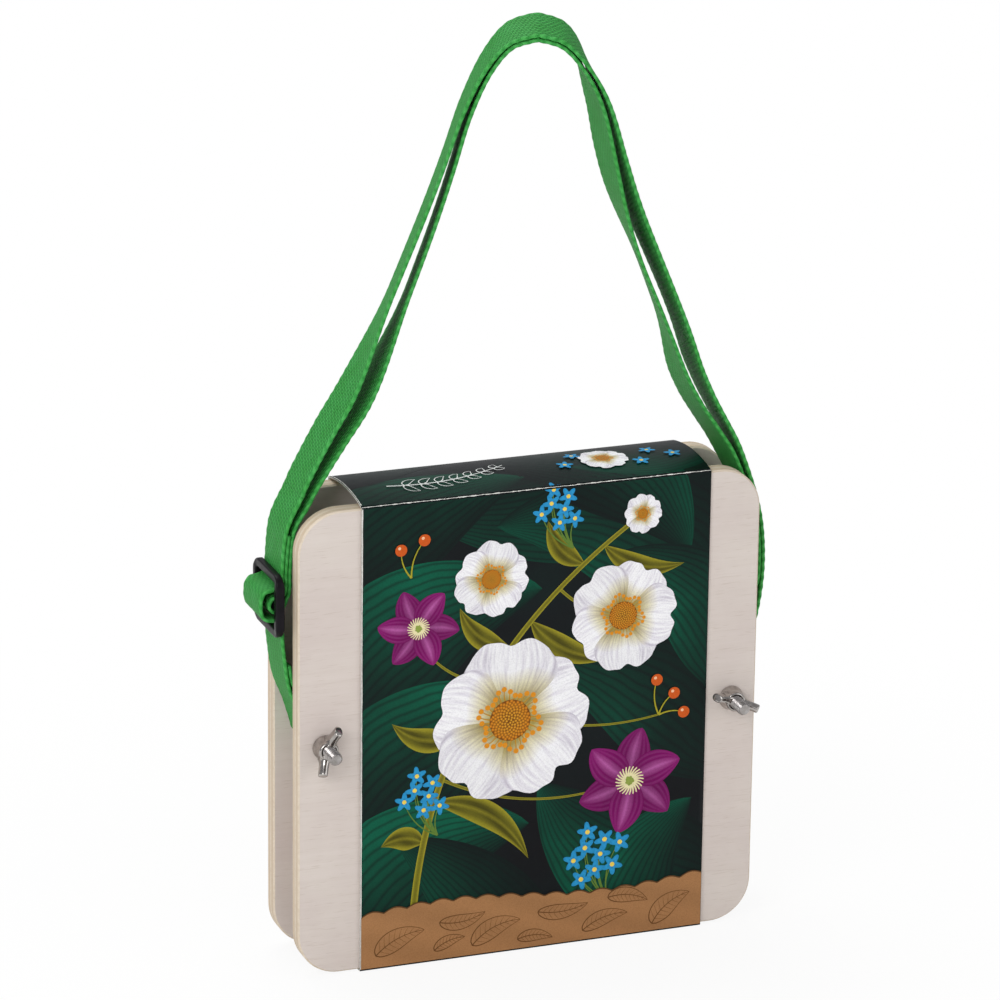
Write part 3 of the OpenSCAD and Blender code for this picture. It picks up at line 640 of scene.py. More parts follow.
def leaf_shape(start, end, bend, width, rows=44, columns=17, lean=0.72, fullness=0.8):
    """Leaf: half widths are the sine of pi times the way's power, raised to its fullness."""
    belly = np.sin(np.pi * np.linspace(0, 1, rows) ** lean) ** fullness + 0.004
    return rib_grid(bent(start, end, bend, rows), np.asarray(width)[..., None] * belly, columns)


def stroke(line, half_width, ink):
    """Drawn line that thins towards its end, or a stack of them."""
    lay(wrap_sheet, "flat", rib_grid(line, half_width * np.linspace(1, 0.45, line.shape[-2]), 2)[0], ink)


def compass(angle):
    """Ways of length one at the given angles."""
    return np.stack([np.cos(angle), np.sin(angle)], -1)


def disc(centre, radius, sides=24):
    """Round spot, or one at each of several centres."""
    ring = np.array([0.01, 1.0])[:, None, None] * compass(np.linspace(0, -2 * np.pi, sides + 1))
    return np.asarray(centre, float)[..., None, None, :] + np.asarray(radius)[..., None, None, None] * ring


def ink_of(code):
    """Hex colour as an ink's three channels."""
    return np.array(colour(code)[:3])


def spiral(count, radius):
    """Places as in a sunflower: the golden angle apart, the distance growing as the root of the number."""
    k = np.arange(count)
    return radius * np.sqrt((k + 0.5) / count)[:, None] * compass(k * math.radians(137.508))


# Broad leaves: start, end, bend, half width, lightness
for sheet, leaves in (
        (wrap_sheet, (((150, 196), (22, 176), 0.10, 24, 0.40), ((-16, 146), (66, 190), 0.12, 24, 0.55),
                      ((152, 118), (52, 168), -0.16, 27, 0.62), ((150, 60), (66, 118), -0.12, 27, 0.45),
                      ((-16, 92), (70, 142), 0.16, 27, 0.80), ((60, 206), (128, 150), 0.12, 22, 0.60),
                      ((152, 88), (98, 152), -0.16, 20, 0.85), ((-14, 44), (78, 90), 0.18, 28, 0.70),
                      ((150, 14), (70, 66), 0.12, 26, 0.75), ((-12, -6), (66, 50), 0.20, 27, 1.00),
                      ((70, -24), (14, 50), -0.10, 20, 0.55), ((100, -20), (131, 52), 0.14, 20, 0.80),
                      ((-10, 196), (58, 222), 0.16, 16, 0.45), ((150, 214), (84, 196), 0.14, 14, 0.55))),
        (back_sheet, (((150, 150), (20, 168), 0.12, 30, 0.5), ((-16, 110), (96, 150), 0.14, 32, 0.8),
                      ((152, 80), (40, 124), -0.14, 32, 0.55), ((-14, 40), (84, 92), 0.18, 32, 0.7),
                      ((150, 10), (56, 64), 0.14, 30, 0.85), ((-12, -10), (70, 48), 0.20, 28, 0.95),
                      ((84, -26), (122, 52), 0.14, 22, 0.6)))):
    for start, end, bend, width, light in leaves:
        grid, u, v = leaf_shape(start, end, bend, width)
        # The ink's red is the leaf's lightness
        lay(sheet, "leaf", grid, (light, 0.5, 0.0), u, v)

# Olive branch with narrow leaves, gilt along the edge and the midrib
olive, gold = ink_of("#6f6a1c"), ink_of("#a79d2b")
branch = bent((20, 8), (108, 166), 0.13, 60)
for row, tip, bend, width in (
        (12, (8, 48), -0.15, 4.6), (17, (66, 36), 0.14, 5.0), (26, (12, 96), 0.16, 4.8),
        (38, (38, 138), 0.14, 4.2), (42, (98, 112), -0.12, 4.8), (51, (72, 168), 0.14, 4.2),
        (54, (126, 146), -0.14, 4.2)):
    grid, u, v = leaf_shape(branch[row], tip, bend, width, 30, 9, 0.82, 1.0)
    edge = (np.clip(np.abs(v) * 1.6 - 0.75, 0, 1) + np.clip(0.2 - np.abs(v), 0, 1) * 2)[..., None]
    mottle = 0.75 + 0.25 * np.sin(9 * u + 4 * v)[..., None]
    lay(wrap_sheet, "flat", grid, olive * (1 - edge) * mottle * 0.8 + gold * edge)
twigs = bent(branch[[20, 31, 33, 47]], [(104, 62), (117, 87), (22, 128), (118, 128)],
             [-0.1, -0.1, 0.12, -0.14], 24)
for line, thick in ((twigs, 0.6), (branch, 1.4)):
    grid, u, v = rib_grid(line, thick * np.linspace(1.0, 0.6, line.shape[-2]), 5)
    edge = (v ** 2)[..., None]
    lay(wrap_sheet, "flat", grid, olive * (1 - edge) + gold * edge)


def dog_rose(centre, size, turn):
    """White rose: five petals with notched tips, one over the next, and stamens round a gold heart."""
    u, v = np.linspace(0, 1, 22)[:, None], np.linspace(-1, 1, 25)[None, :]
    for k in range(5):
        angle = turn + k * 2 * np.pi / 5 + 0.07 * math.sin(3.7 * k)
        reach = 1 + 0.04 * math.sin(2.3 * k) - 0.13 * v ** 2 - 0.12 * v ** 8 - 0.10 * np.exp(-(v / 0.2) ** 2)
        out_by = 0.08 + (reach + 0.012 * np.sin(11 * v + k) - 0.08) * u
        aside = v * (0.06 + 0.54 * np.sin(np.pi * (0.05 + 0.60 * u)) ** 1.3)
        grid = centre + size * np.stack([out_by * math.cos(angle) - aside * math.sin(angle),
                                         out_by * math.sin(angle) + aside * math.cos(angle)], -1)
        lay(wrap_sheet, "petal", grid, (1.0 - 0.06 * (k % 2), 0.0, 0.0), u, v)
    tips = compass(np.linspace(0, 2 * np.pi, 33)[:-1])
    far = size * (0.36 + 0.05 * np.sin(5.1 * np.arange(32)))[:, None]
    stroke(bent(centre + tips * size * 0.1, centre + tips * far, 0.06, 5), 0.012 * size, ink_of("#b9862a"))
    lay(wrap_sheet, "flat", disc(centre + tips * far, 0.034 * size, 10), ink_of("#de8f22"))
    heart = size * 0.25
    lay(wrap_sheet, "flat", disc(centre, heart * 1.04, 48), ink_of("#7d4713"))
    florets = spiral(150, heart)
    tint = (np.linalg.norm(florets, axis=1) / heart)[:, None, None, None]
    glow = np.array([1.0, 0.45])[:, None, None]
    lay(wrap_sheet, "flat", disc(centre + florets, heart * (0.06 + 0.03 * tint[:, 0, 0, 0]), 7),
        (ink_of("#f4b236") * (1 - tint) + ink_of("#e88f25") * tint) * glow)


def clematis(centre, size, turn):
    """Violet clematis: six pointed petals with a paler stripe, three over three, and cream stamens."""
    for first in (1, 0):
        tips = centre + size * compass(turn + np.arange(first, 6, 2) * np.pi / 3)
        grid, u, v = leaf_shape(0 * tips + centre, tips, 0.05, np.full(3, 0.33 * size), 30, 25, 0.9, 0.7)
        stripe = 0.8 * np.exp(-(v / 0.24) ** 2) + 0.12 * np.cos(7 * np.pi * v)
        stripe = stripe[..., None] * np.sin(np.pi * u)[..., None]
        shade = (0.62 + 0.38 * u)[..., None] * (1.0 - 0.18 * first)
        lay(wrap_sheet, "flat", grid, (ink_of("#86196a") * (1 - stripe) + ink_of("#c968b2") * stripe) * shade)
    stamens = compass(np.linspace(0, 2 * np.pi, 25)[:-1])
    filaments = bent(centre + 0 * stamens, centre + stamens * size * 0.27, 0.1, 5)
    stroke(filaments, 0.024 * size, ink_of("#e9dfae"))
    lay(wrap_sheet, "flat", disc(centre + spiral(16, 0.07 * size), 0.03 * size, 8), ink_of("#8fa04a"))


def small_flowers(centres, size, ink, heart):
    """Five-petalled flowers: the rim swells with the cosine of five times the angle."""
    centres = np.asarray(centres, float)
    angle = np.linspace(0, -2 * np.pi, 41)
    swell = size * (0.74 + 0.26 * np.cos(5 * angle))
    rim = swell[:, None] * compass(angle + np.arange(len(centres))[:, None] * 0.7)
    grid = centres[:, None, None] + np.array([0.05, 0.55, 1.0])[:, None, None] * rim[:, None]
    lay(wrap_sheet, "flat", grid, ink_of(ink) * np.array([0.5, 1.0, 0.82])[:, None, None])
    lay(wrap_sheet, "flat", disc(centres, 0.22 * size, 10), ink_of(heart))


clematis(np.array([106.0, 62.0]), 21.0, 0.3)
clematis(np.array([22.0, 132.0]), 16.0, 0.9)
for centre, count, reach, size in (
        ((92, 34), 9, 11.5, 4.3), ((24, 66), 7, 9.0, 3.9), ((76, 172), 7, 8.5, 3.7)):
    heads = np.array(centre) + spiral(count, reach)
    foot = np.array(centre) + [6.0, -reach - 7.0]
    stroke(bent(0 * heads + foot, heads, 0.12, 12), 0.32, ink_of("#5f7d33"))
    small_flowers(heads, size, "#2b97cf", "#f2d35a")
dog_rose(np.array([58.0, 92.0]), 31.0, 0.35)
dog_rose(np.array([102.0, 128.0]), 21.0, 1.1)
dog_rose(np.array([50.0, 148.0]), 14.5, 0.1)
dog_rose(branch[-1] + [1.0, 1.0], 7.5, 0.8)
hips = np.array([(123.0, 95.0), (127.0, 87.0), (116.0, 101.0), (15.0, 163.0), (24.0, 166.0)])
stroke(bent(np.array([(117, 87)] * 3 + [(19, 152)] * 2), hips, 0.1, 8), 0.34, gold)
lay(wrap_sheet, "flat", disc(hips, 2.3), ink_of("#cf5a1f"))
lay(wrap_sheet, "flat", disc(hips + [-0.6, 0.8], 0.6, 12), ink_of("#f5c199"))

# Brown paper band with a scalloped edge, and leaves drawn on it
band_x, band_up = np.meshgrid(np.linspace(0, sleeve_w, 180), np.linspace(0, 1, 8))
band_top = 20.5 + 2.2 * np.sin(band_x / 21) + 1.5 * np.abs(np.sin(band_x * np.pi / 9.07))
mottled = ink_of("#ab7b50") * (0.94 + 0.06 * np.sin(band_x / 7 + 9 * band_up))[..., None]
for above, ink in ((0.54, ink_of("#5e4126")), (0.0, mottled)):
    lay(wrap_sheet, "flat", np.stack([band_x, (band_top + above) * band_up], -1), ink)
starts = [(6, 5), (31, 15), (44, 4), (70, 14), (88, 4), (98, 16), (116, 3), (29, 4), (62, 4)]
ends = [(25, 13), (49, 17), (63, 12), (90, 15), (106, 9), (114, 13), (131, 14), (41, 8), (76, 3)]
lines, u, v = leaf_shape(starts, ends, np.array([0.1, -0.1, 0.12, -0.08, 0.1, 0.1, 0.12, 0.1, 0.1]),
                         np.array([4.2, 3.0, 4.0, 3.0, 3.2, 3.0, 4.2, 2.4, 2.4]), 30, 7)
stroke(np.concatenate([lines[:, :, column] for column in (0, 3, 6)]), 0.22, ink_of("#6a4526"))
veins = [np.stack([lines[:, row, 3], 0.55 * lines[:, row, 3] + 0.45 * lines[:, row + 3, side],
                   0.1 * lines[:, row + 3, 3] + 0.9 * lines[:, row + 3, side]], 1)
         for row in range(3, 26, 3) for side in (0, 6)]
stroke(np.concatenate(veins), 0.11, ink_of("#7a5230"))

# Roof: a sprig in white line and a few small flowers
white_ink = ink_of("#e6e8e6")
stem = bent((14, 194), (62, 203), -0.1, 24)
stroke(stem, 0.4, white_ink)
rows = np.arange(3, 22, 3)
ahead = unit(stem[rows] - stem[rows - 1])
for hand in (-1, 1):
    tips = stem[rows] + (7.4 - 0.17 * rows)[:, None] * (ahead * 0.7 + hand * 0.72 * turned_left(ahead))
    outline, u, v = leaf_shape(stem[rows], tips, 0.14 * hand, np.full(len(rows), 1.5), 14, 5)
    stroke(np.concatenate([outline[:, :, 0], outline[:, :, 4]]), 0.24, white_ink)
dog_rose(np.array([100.0, 199.0]), 9.5, 0.5)
small_flowers([(84, 196), (90, 205), (113, 193), (119, 203), (127, 197)], 3.4, "#2b97cf", "#f2d35a")

# Cracked film along the upper front crease, and the bare cut edge down the left side


def bare(x, w):
    """Lays a grid of points x, w as bare board, above all the ink."""
    points = on_wrap(x, w, bare_lift)
    rows, columns = points.shape[:2]
    wrap_sheet["laid"].append(("bare", points, grid_faces(rows, columns), np.ones((rows, columns, 3)),
                               np.zeros((rows, columns, 2))))


bare_lift, thin, wide, edge_half = 0.3, 0.085, 0.2, 0.12
crack_points, edge_points, spare = 420, 120, 10
speckle = np.random.default_rng(7)
x = np.linspace(0.1, sleeve_w - 0.1, crack_points)
rough = np.convolve(speckle.random(crack_points + 4 * spare), np.ones(5) / 5, "same")[2 * spare:-2 * spare]
half = np.clip((rough - 0.38) * 0.75, thin, wide)
middle = (front_top + roof_low) / 2 - 0.1 + (rough[::-1] - 0.5) * 0.25
w = middle + np.linspace(-1, 1, 4)[:, None] * half
bare(np.broadcast_to(x, w.shape), w)
for low, high in wrap_sheet["panels"]:
    rough = np.convolve(speckle.random(edge_points + 2 * spare), np.ones(4) / 4, "same")[spare:-spare, None]
    half = edge_half + edge_half * rough
    bare(half + half * [-1.0, 1.0], np.linspace(low, high, edge_points)[:, None] + [0.0, 0.0])

# Inks: leaves get their veins from u and v, petals their streaks; the rest is flat ink


def motif_marks(tree):
    """The u and v of a motif, and the channels of its ink."""
    mark = add(tree, "SeparateXYZ", {0: add(tree, "UVMap", uv_map="motif")}).outputs
    return mark, add(tree, "SeparateColor", {0: add(tree, "Attribute", attribute_name="ink")}).outputs


def arches(tree, value):
    """A row of arches, one to each whole number: the sine of half a turn times the value's fraction."""
    value = add(tree, "Math", {0: value}, operation="FRACT")
    value = add(tree, "Math", {0: value, 1: math.pi}, operation="MULTIPLY")
    return add(tree, "Math", {0: value}, operation="SINE")


leaf_ink, tree = new_material("hosta_leaf_ink")
mark, level = motif_marks(tree)
off_rib = add(tree, "Math", {0: mark[1]}, operation="ABSOLUTE")
# Seven veins to each half run from the stalk to the tip; the noise makes them waver
waver_at = add(tree, "TexCoord").outputs["Object"]
waver = add(tree, "TexNoise", {"Vector": waver_at, "Scale": 60.0, "Detail": 3.0})
vein = add(tree, "Math", {0: waver, 1: 0.9, 2: 0.0}, operation="MULTIPLY_ADD")
vein = arches(tree, add(tree, "Math", {0: off_rib, 1: 7.0, 2: vein}, operation="MULTIPLY_ADD"))
light = add(tree, "MapRange", {0: vein, 1: 0.0, 2: 0.8, 3: 0.55, 4: 1.0})
# One half faces the light; the leaf is darkest at its stalk and along its shaded margin
clouds = add(tree, "TexNoise", {"Vector": waver_at, "Scale": 26.0, "Detail": 3.0})
for share, low, high, dark, bright in ((mark[1], -1.0, 0.7, 0.22, 1.0), (mark[0], 0.1, 0.6, 0.25, 1.0),
                                       (clouds, 0.25, 0.7, 0.55, 1.1)):
    share = add(tree, "MapRange", {0: share, 1: low, 2: high, 3: dark, 4: bright})
    light = add(tree, "Math", {0: light, 1: share}, operation="MULTIPLY")
light = add(tree, "Math", {0: light, 1: level[0]}, operation="MULTIPLY")
laminated(tree, add(tree, "ValToRGB", {0: light}, [
    (0.0, "#0e0e12"), (0.15, "#0a1f1b"), (0.4, "#06392b"), (0.8, "#045a42")]))

petal_ink, tree = new_material("white_petal_ink")
mark, level = motif_marks(tree)
pleat = add(tree, "Math", {0: mark[1], 1: 2.5 * 2 * math.pi}, operation="MULTIPLY")
pleat = add(tree, "Math", {0: pleat}, operation="COSINE")
streak_at = add(tree, "CombineXYZ", {0: mark[0], 1: mark[1]})
streak_at = add(tree, "Mapping", {"Vector": streak_at, "Scale": (2.0, 14.0, 1.0)})
streak = add(tree, "TexNoise", {"Vector": streak_at, "Scale": 1.0, "Detail": 3.0})
fold = add(tree, "Math", {0: pleat, 1: 0.03, 2: streak}, operation="MULTIPLY_ADD")
rim = add(tree, "Math", {0: mark[1], 1: mark[1]}, operation="MULTIPLY")
fold = add(tree, "Math", {0: rim, 1: -0.16, 2: fold}, operation="MULTIPLY_ADD")
white = add(tree, "ValToRGB", {0: fold}, [(0.15, "#c4bdca"), (0.33, "#e4e0e8"), (0.55, "#fbfafc")])
base = add(tree, "ValToRGB", {0: mark[0]}, [(0.2, "#b3a258"), (0.42, "#e9e3c2"), (0.62, "#ffffff")])
white = add(tree, "Mix", {0: 1.0, 6: white, 7: base}, data_type="RGBA", blend_type="MULTIPLY")
behind = add(tree, "Mix", {0: level[0], 6: colour("#000000"), 7: white}, data_type="RGBA")
laminated(tree, behind)

flat_ink, tree = new_material("flat_printing_ink")
laminated(tree, add(tree, "Attribute", attribute_name="ink"))

kinds = ("leaf", "petal", "flat", "bare")


def add_uv(mesh, name, marks):
    """UV layer from one (u, v) to each vertex."""
    corner = np.empty(len(mesh.loops), int)
    mesh.loops.foreach_get("vertex_index", corner)
    mesh.uv_layers.new(name=name).data.foreach_set("uv", marks[corner].ravel())


for name, sheet, body in (("sleeve_print_wrap", wrap_sheet, "sleeve"),
                          ("sleeve_print_back", back_sheet, "press_base")):
    verts, faces, inks, marks, paints, start = [], [], [], [], [], 0
    for kind, points, quads, ink, mark in sheet["laid"]:
        verts.append(points.reshape(-1, 3))
        inks.append(ink.reshape(-1, 3))
        marks.append(mark.reshape(-1, 2))
        faces.append(quads + start)
        paints.append(np.full(len(quads), kinds.index(kind)))
        start += points.size // 3
    # Points that no face has kept go
    used, faces = np.unique(np.concatenate(faces), return_inverse=True)
    verts, inks, marks = (np.concatenate(values)[used] for values in (verts, inks, marks))
    piece = new_object(name, verts * MM, faces.reshape(-1, 4), False)
    mesh = piece.data
    mesh.polygons.foreach_set("material_index", np.concatenate(paints))
    mesh.color_attributes.new("ink", "FLOAT_COLOR", "POINT").data.foreach_set(
        "color", np.concatenate([inks, np.ones((len(inks), 1))], 1).ravel())
    add_uv(mesh, "motif", marks)
    for paint in (leaf_ink, petal_ink, flat_ink, board_white):
        mesh.materials.append(paint)
    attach(piece, body)

# Carrying strap
# One length of 20 mm green polypropylene webbing, 1.3 mm thick, woven in twill. One end is sewn round the
# slider's middle bar; it goes over the top, round the right bolt, back over the top as a second layer,
# through the slider, round the left bolt, and back up beside itself.
strap_w, strap_t, layer_gap, layer_sag, pass_play, wrap_r = 20.0, 1.3, 0.3, 5.0, 0.15, 3.45
spread, lean_right, twist, slope, top_z = 96.0, 6.0, 19.0, 11.0, 350.8
# Heights between which the webbing of the loop bends, and heights by the slider and below it
bend_low, bend_high, slider_bend_high = 184.8, 207.8, 157.0
below_low, below_high = 112.0, 132.0
slider_x, slider_z, slider_w, slider_h, slider_t, slider_bar = 95.3, 144.3, 28.0, 24.0, 2.6, 3.2
steps = 16


def smooth_line(points, steps):
    """Catmull-Rom curve: between two points half of (2 p1 + (p2 - p0) t + (2 p0 - 5 p1 + 4 p2 - p3) t^2
    + (3 p1 - p0 - 3 p2 + p3) t^3), with the end points doubled."""
    p = np.asarray(points, float)
    p = np.concatenate([p[:1], p, p[-1:]])
    t = (np.arange(steps) / steps)[None, :, None]
    p0, p1, p2, p3 = (p[k:len(p) - 3 + k, None] for k in range(4))
    curve = (2 * p1 + (p2 - p0) * t + (2 * p0 - 5 * p1 + 4 * p2 - p3) * t ** 2
             + (3 * p1 - p0 - 3 * p2 + p3) * t ** 3) / 2
    return np.concatenate([curve.reshape(-1, 2), p[-1:]])


def moved(line, side):
    """Line moved to its left by a distance: each point plus the distance times the way along turned left."""
    way = np.empty_like(line)
    way[1:-1] = line[2:] - line[:-2]
    way[0], way[-1] = line[1] - line[0], line[-1] - line[-2]
    return line + turned_left(unit(way)) * np.reshape(side, (-1, 1))


def mirrored(line):
    """Line carried over to the other side of the press."""
    return line * [-1, 1]


def upper_share(z):
    """Share of the loop's height above the bend."""
    return np.clip((z - bend_high) / (top_z - bend_high), 0, None)


def eased(low, high, value):
    """Share of the way from low to high, eased at both ends as half of one minus the cosine."""
    return (1 - np.cos(np.pi * np.clip((value - low) / (high - low), 0, 1))) / 2


wrap_edge = bolt_x + wrap_r + strap_t / 2
low_shares = np.array([(0.33, 0.119), (0.758, 0.262), (1, 0.449), (0.984, 0.629), (0.742, 0.794)])
high_shares = np.array([(0.688, 0.096), (0.577, 0.258), (0.479, 0.412), (0.4, 0.541), (0.333, 0.661),
                        (0.267, 0.791), (0.19, 0.903), (0.105, 0.975)])
half_points = np.concatenate([
    [[wrap_edge, bolt_z]],
    [wrap_edge, bolt_z] + low_shares * [spread - wrap_edge, bend_low - bolt_z],
    np.stack([spread * np.array([0.898, 0.838, 0.77]), np.linspace(bend_low, bend_high, 3)], -1),
    [0, bend_high] + high_shares * [spread, top_z - bend_high],
    [[0, top_z]]])
half_line = smooth_line(half_points, steps)
foot, crown = (1 + len(low_shares)) * steps, (3 + len(low_shares)) * steps
over = np.concatenate([half_line, mirrored(half_line[:-1])[::-1]])
over[:, 0] += lean_right * upper_share(over[:, 1])
over_end = len(over) - 1
# The layers stand furthest apart a little above the bend
part_z = bolt_z + (bend_low - bolt_z) * 0.63
widest_z, meet_z = (bend_high + (top_z - bend_high) * share for share in (0.12, 1.1))
sagging = eased(part_z, widest_z, over[:, 1]) * (1 - eased(widest_z, meet_z, over[:, 1]))
apart = layer_gap + layer_sag * sagging
outer_over = moved(over, strap_t / 2)
inner_over = moved(over, strap_t * 1.5 + apart)

bolt_at = np.array([bolt_x, bolt_z])
wrap_arc = bolt_at + wrap_r * compass(np.radians(np.arange(0, -181, -5)))
wrap_rise = bolt_at + wrap_r * np.array([(-1, 0.3), (-0.85, 1.2), (-0.15, 2.4), (0.9, 3.8), (1.9, 5.3)])
inner_from = 3 * steps
anchor_right = np.concatenate([
    inner_over[inner_from + 1:foot + 1][::-1],
    smooth_line(np.concatenate([wrap_rise, inner_over[inner_from:inner_from + 1]]), steps)[::-1],
    wrap_arc[::-1], outer_over[1:foot + 1]])

slider_at = np.array([slider_x, slider_z])
pass_in = slider_t / 2 + strap_t / 2 + pass_play
layer_pitch = strap_t + pass_play
bar_r = math.hypot(slider_t / 2, slider_bar / 2) + pass_play + strap_t / 2
bight_out = bar_r + strap_t + 1.9
slot_top = slider_h / 2 - slider_bar
slot_in = (slot_top + bar_r + strap_t / 2) / 2
above = slider_at + np.array([(1.8, 1.15), (1, 0.5)]) * [-pass_in, slider_h]
below = slider_at + np.array([(1, -0.5), (1.2, -0.75)]) * [-pass_in, slider_h]
leg_top = smooth_line(np.concatenate([outer_over[[crown - steps, foot]], above]), 2 * steps)[2 * steps:]
pass_turn = smooth_line(np.concatenate([
    above, slider_at + np.array([(-pass_in, slot_top - strap_t / 2), (0, slot_in)]),
    slider_at + np.array([(0.8, 0.55), (1, 0), (0.8, -0.55)]) * [bight_out, slot_top],
    slider_at + np.array([(0, -slot_in), (-pass_in, strap_t / 2 - slot_top)]), below]), steps)[steps + 1:]
pass_line = np.concatenate([leg_top, pass_turn])
left_low = smooth_line(np.concatenate([
    below[1:], bolt_at + wrap_r * np.array([(3.1, 6.2), (1.9, 3), (1, 0)])]), steps)
left_fold = moved(left_low, -strap_t - layer_gap)
anchor_left = np.concatenate([
    left_low[:-1], wrap_arc, smooth_line(np.concatenate([wrap_rise[:-1], left_fold[steps:steps + 1]]), steps),
    left_fold[steps // 2:steps][::-1]])
tail_top = slider_z + 26.0
above_tail = np.clip((leg_top[:, 1] - tail_top) / (bend_low - tail_top), 0, None)
meet = (2 * layer_pitch - strap_t - apart[foot]) * eased(0, 1, above_tail)
end_path = moved(leg_top, meet - 2 * layer_pitch)
tail_path = moved(leg_top, -layer_pitch)
tail_path = tail_path[tail_path[:, 1] < tail_top]
slot_points = slider_at + np.array([(-pass_in - 2 * layer_pitch, slot_top * 0.8),
                                    (-pass_in - 1.8 * layer_pitch, slot_top * 0.47)])
end_turn = smooth_line(np.concatenate([
    slot_points, slider_at + bar_r * np.array([(-1.28, 0.55), (-1, 0)])]), steps)
end_round = slider_at + bar_r * compass(np.radians(np.arange(195, 451, 5)))
end_rise = smooth_line(np.concatenate([
    slider_at + bar_r * np.array([(-0.68, 1.1), (-1.13, 1.6)]),
    slider_at + np.array([(-pass_in - layer_pitch, slot_top * 0.8)])]), steps)
sewn = np.concatenate([tail_path, end_rise[::-1], end_round[::-1], end_turn[::-1], end_path[1:][::-1],
                       mirrored(inner_over[[over_end - foot]])])
over_top = np.concatenate([
    inner_over[foot:over_end - foot + 1][::-1], anchor_right[1:], outer_over[foot + 1:over_end - foot + 1]])


def evenly(points, step):
    """Points a step apart along a line, by straight interpolation over its length."""
    way = line_length(points)
    count = int(round(way[-1] / step))
    there = np.linspace(0, way[-1], count + 1)
    return np.stack([np.interp(there, way, points[:, k]) for k in range(points.shape[1])], -1), there


def softened(points, times):
    """Line with each inner point drawn to the mean of itself and its neighbours, several times over."""
    for _ in range(times):
        points[1:-1] = points[1:-1] / 2 + (points[:-2] + points[2:]) / 4
    return points


def webbing_mesh(name, line):
    """Webbing along a line in XZ: at each place a flat oval section of points set across the strap. Low on
    the right leg, where the loop hangs straight, the line bows out, the inner layer more than the outer. It
    sways round its top's axis by the twist times the square of the height's share. The way across turns by
    the twist times an eased share, which ends low on the left leg; on the right leg it dips in both layers
    higher up, and in the inner one low down too, with a swell between. The way across slopes with the share's
    third power. The selvedges swell and draw in as a sine of the length, and so do the twill's faces."""
    flat, there = evenly(line, 0.45)
    flat = softened(flat, 3)
    z = flat[:, 1]
    on_right = flat[:, 0] > lean_right
    inner = np.arange(len(flat)) < len(flat) / 2
    bow_out, bow_more, bow_low, bow_full, bow_high = 2.8, 0.8, 198, 236, 292
    flat[:, 0] += on_right * (bow_out + bow_more * inner) * eased(bow_low, bow_full, z) * (
        1 - eased(bow_full, bow_high, z))
    high = upper_share(z)
    sway = np.radians(twist * (np.clip(high - 0.03, 0, None) / 0.97) ** 2)
    middle = np.stack([flat[:, 0], -(flat[:, 0] - lean_right) * np.sin(sway), z], -1)
    turn = twist * eased(0.03, np.where(on_right, 1.0, 0.34), high)
    # Degrees of the dips and of the swell
    dip_high, dip_low, dip_foot = 17, 9, 6
    dip = dip_high * eased(np.where(inner, 0.34, 0.14), 0.72, high) * (1 - eased(0.79, 1.0, high))
    dip -= inner * dip_low * eased(0.02, 0.22, high) * (1 - eased(0.3, 0.6, high))
    dip += inner * dip_foot * eased(166, 186, z) * (1 - eased(192, 228, z))
    turn = np.radians(turn - on_right * dip)
    way = unit(np.gradient(middle, axis=0))
    across = np.stack([np.sin(turn), np.cos(turn), np.tan(np.radians(slope * high ** 3))], -1)
    across = unit(across - (across * way).sum(1)[:, None] * way)
    out_way = np.cross(across, way)
    # Section: a across the strap and b through it, round the two faces and the two rounded selvedges
    edge, half, round_r = strap_w / 2, strap_t / 2, 0.5
    face = np.linspace(-1, 1, 15)[1:-1] * (edge - 0.6)
    round_edge = np.radians([70, 35, 0, -35, -70])
    side = edge - round_r + round_r * np.cos(round_edge)
    level, rounded = np.full(len(face), half), half * np.sin(round_edge) * 1.02
    a = np.concatenate([face, side, -face, -side])
    b = np.concatenate([level, rounded, -level, -rounded])
    at_edge = (np.abs(a) > edge - 0.7).astype(float)
    loop_pitch, float_pitch, swell_a, swell_b = 3.6, 5.2, 0.2, 0.03
    wave = np.sin(2 * np.pi * there[:, None] / loop_pitch + np.where(a > 0, 0.0, 2.1))
    shift_a = at_edge * np.sign(a) * (swell_a * wave - swell_a)
    shift_b = (1 - at_edge) * np.sign(b) * swell_b * np.sin(
        2 * np.pi * (there[:, None] * 0.42 + a * 0.9) / float_pitch)
    points = (middle[:, None] + across[:, None] * (a + shift_a)[..., None]
              + out_way[:, None] * (b + shift_b - swell_b * np.sign(b) * (1 - at_edge))[..., None])
    piece = new_object(name, *shell(points * MM))
    # U is the length and V the way across, both in centimetres; the middles of the ends take V nought
    u = np.concatenate([np.repeat(there, len(a)), [there[0], there[-1]]]) / 10
    v = np.concatenate([np.tile(a, len(there)), [0, 0]]) / 10
    add_uv(piece.data, "weave", np.stack([u, v], -1))
    return piece


webbing, tree = new_material("polypropylene_twill_webbing")
uv = add(tree, "SeparateXYZ", {0: add(tree, "TexCoord").outputs["UV"]}).outputs
# Twill: ribs 1.3 mm apart run 19 degrees off the length; each is a row of yarn floats 2.4 mm long
rib = add(tree, "Math", {0: uv[0], 1: 2.5}, operation="MULTIPLY")
rib = add(tree, "Math", {0: uv[1], 1: 7.3, 2: rib}, operation="MULTIPLY_ADD")
rib_number = add(tree, "Math", {0: rib}, operation="FLOOR")
yarn = add(tree, "Math", {0: uv[0], 1: 4.2}, operation="MULTIPLY")
yarn = arches(tree, add(tree, "Math", {0: rib_number, 1: 0.37, 2: yarn}, operation="MULTIPLY_ADD"))
yarn = add(tree, "Math", {0: yarn, 1: 0.35}, operation="POWER")
height = add(tree, "Math", {0: arches(tree, rib), 1: yarn}, operation="MULTIPLY")
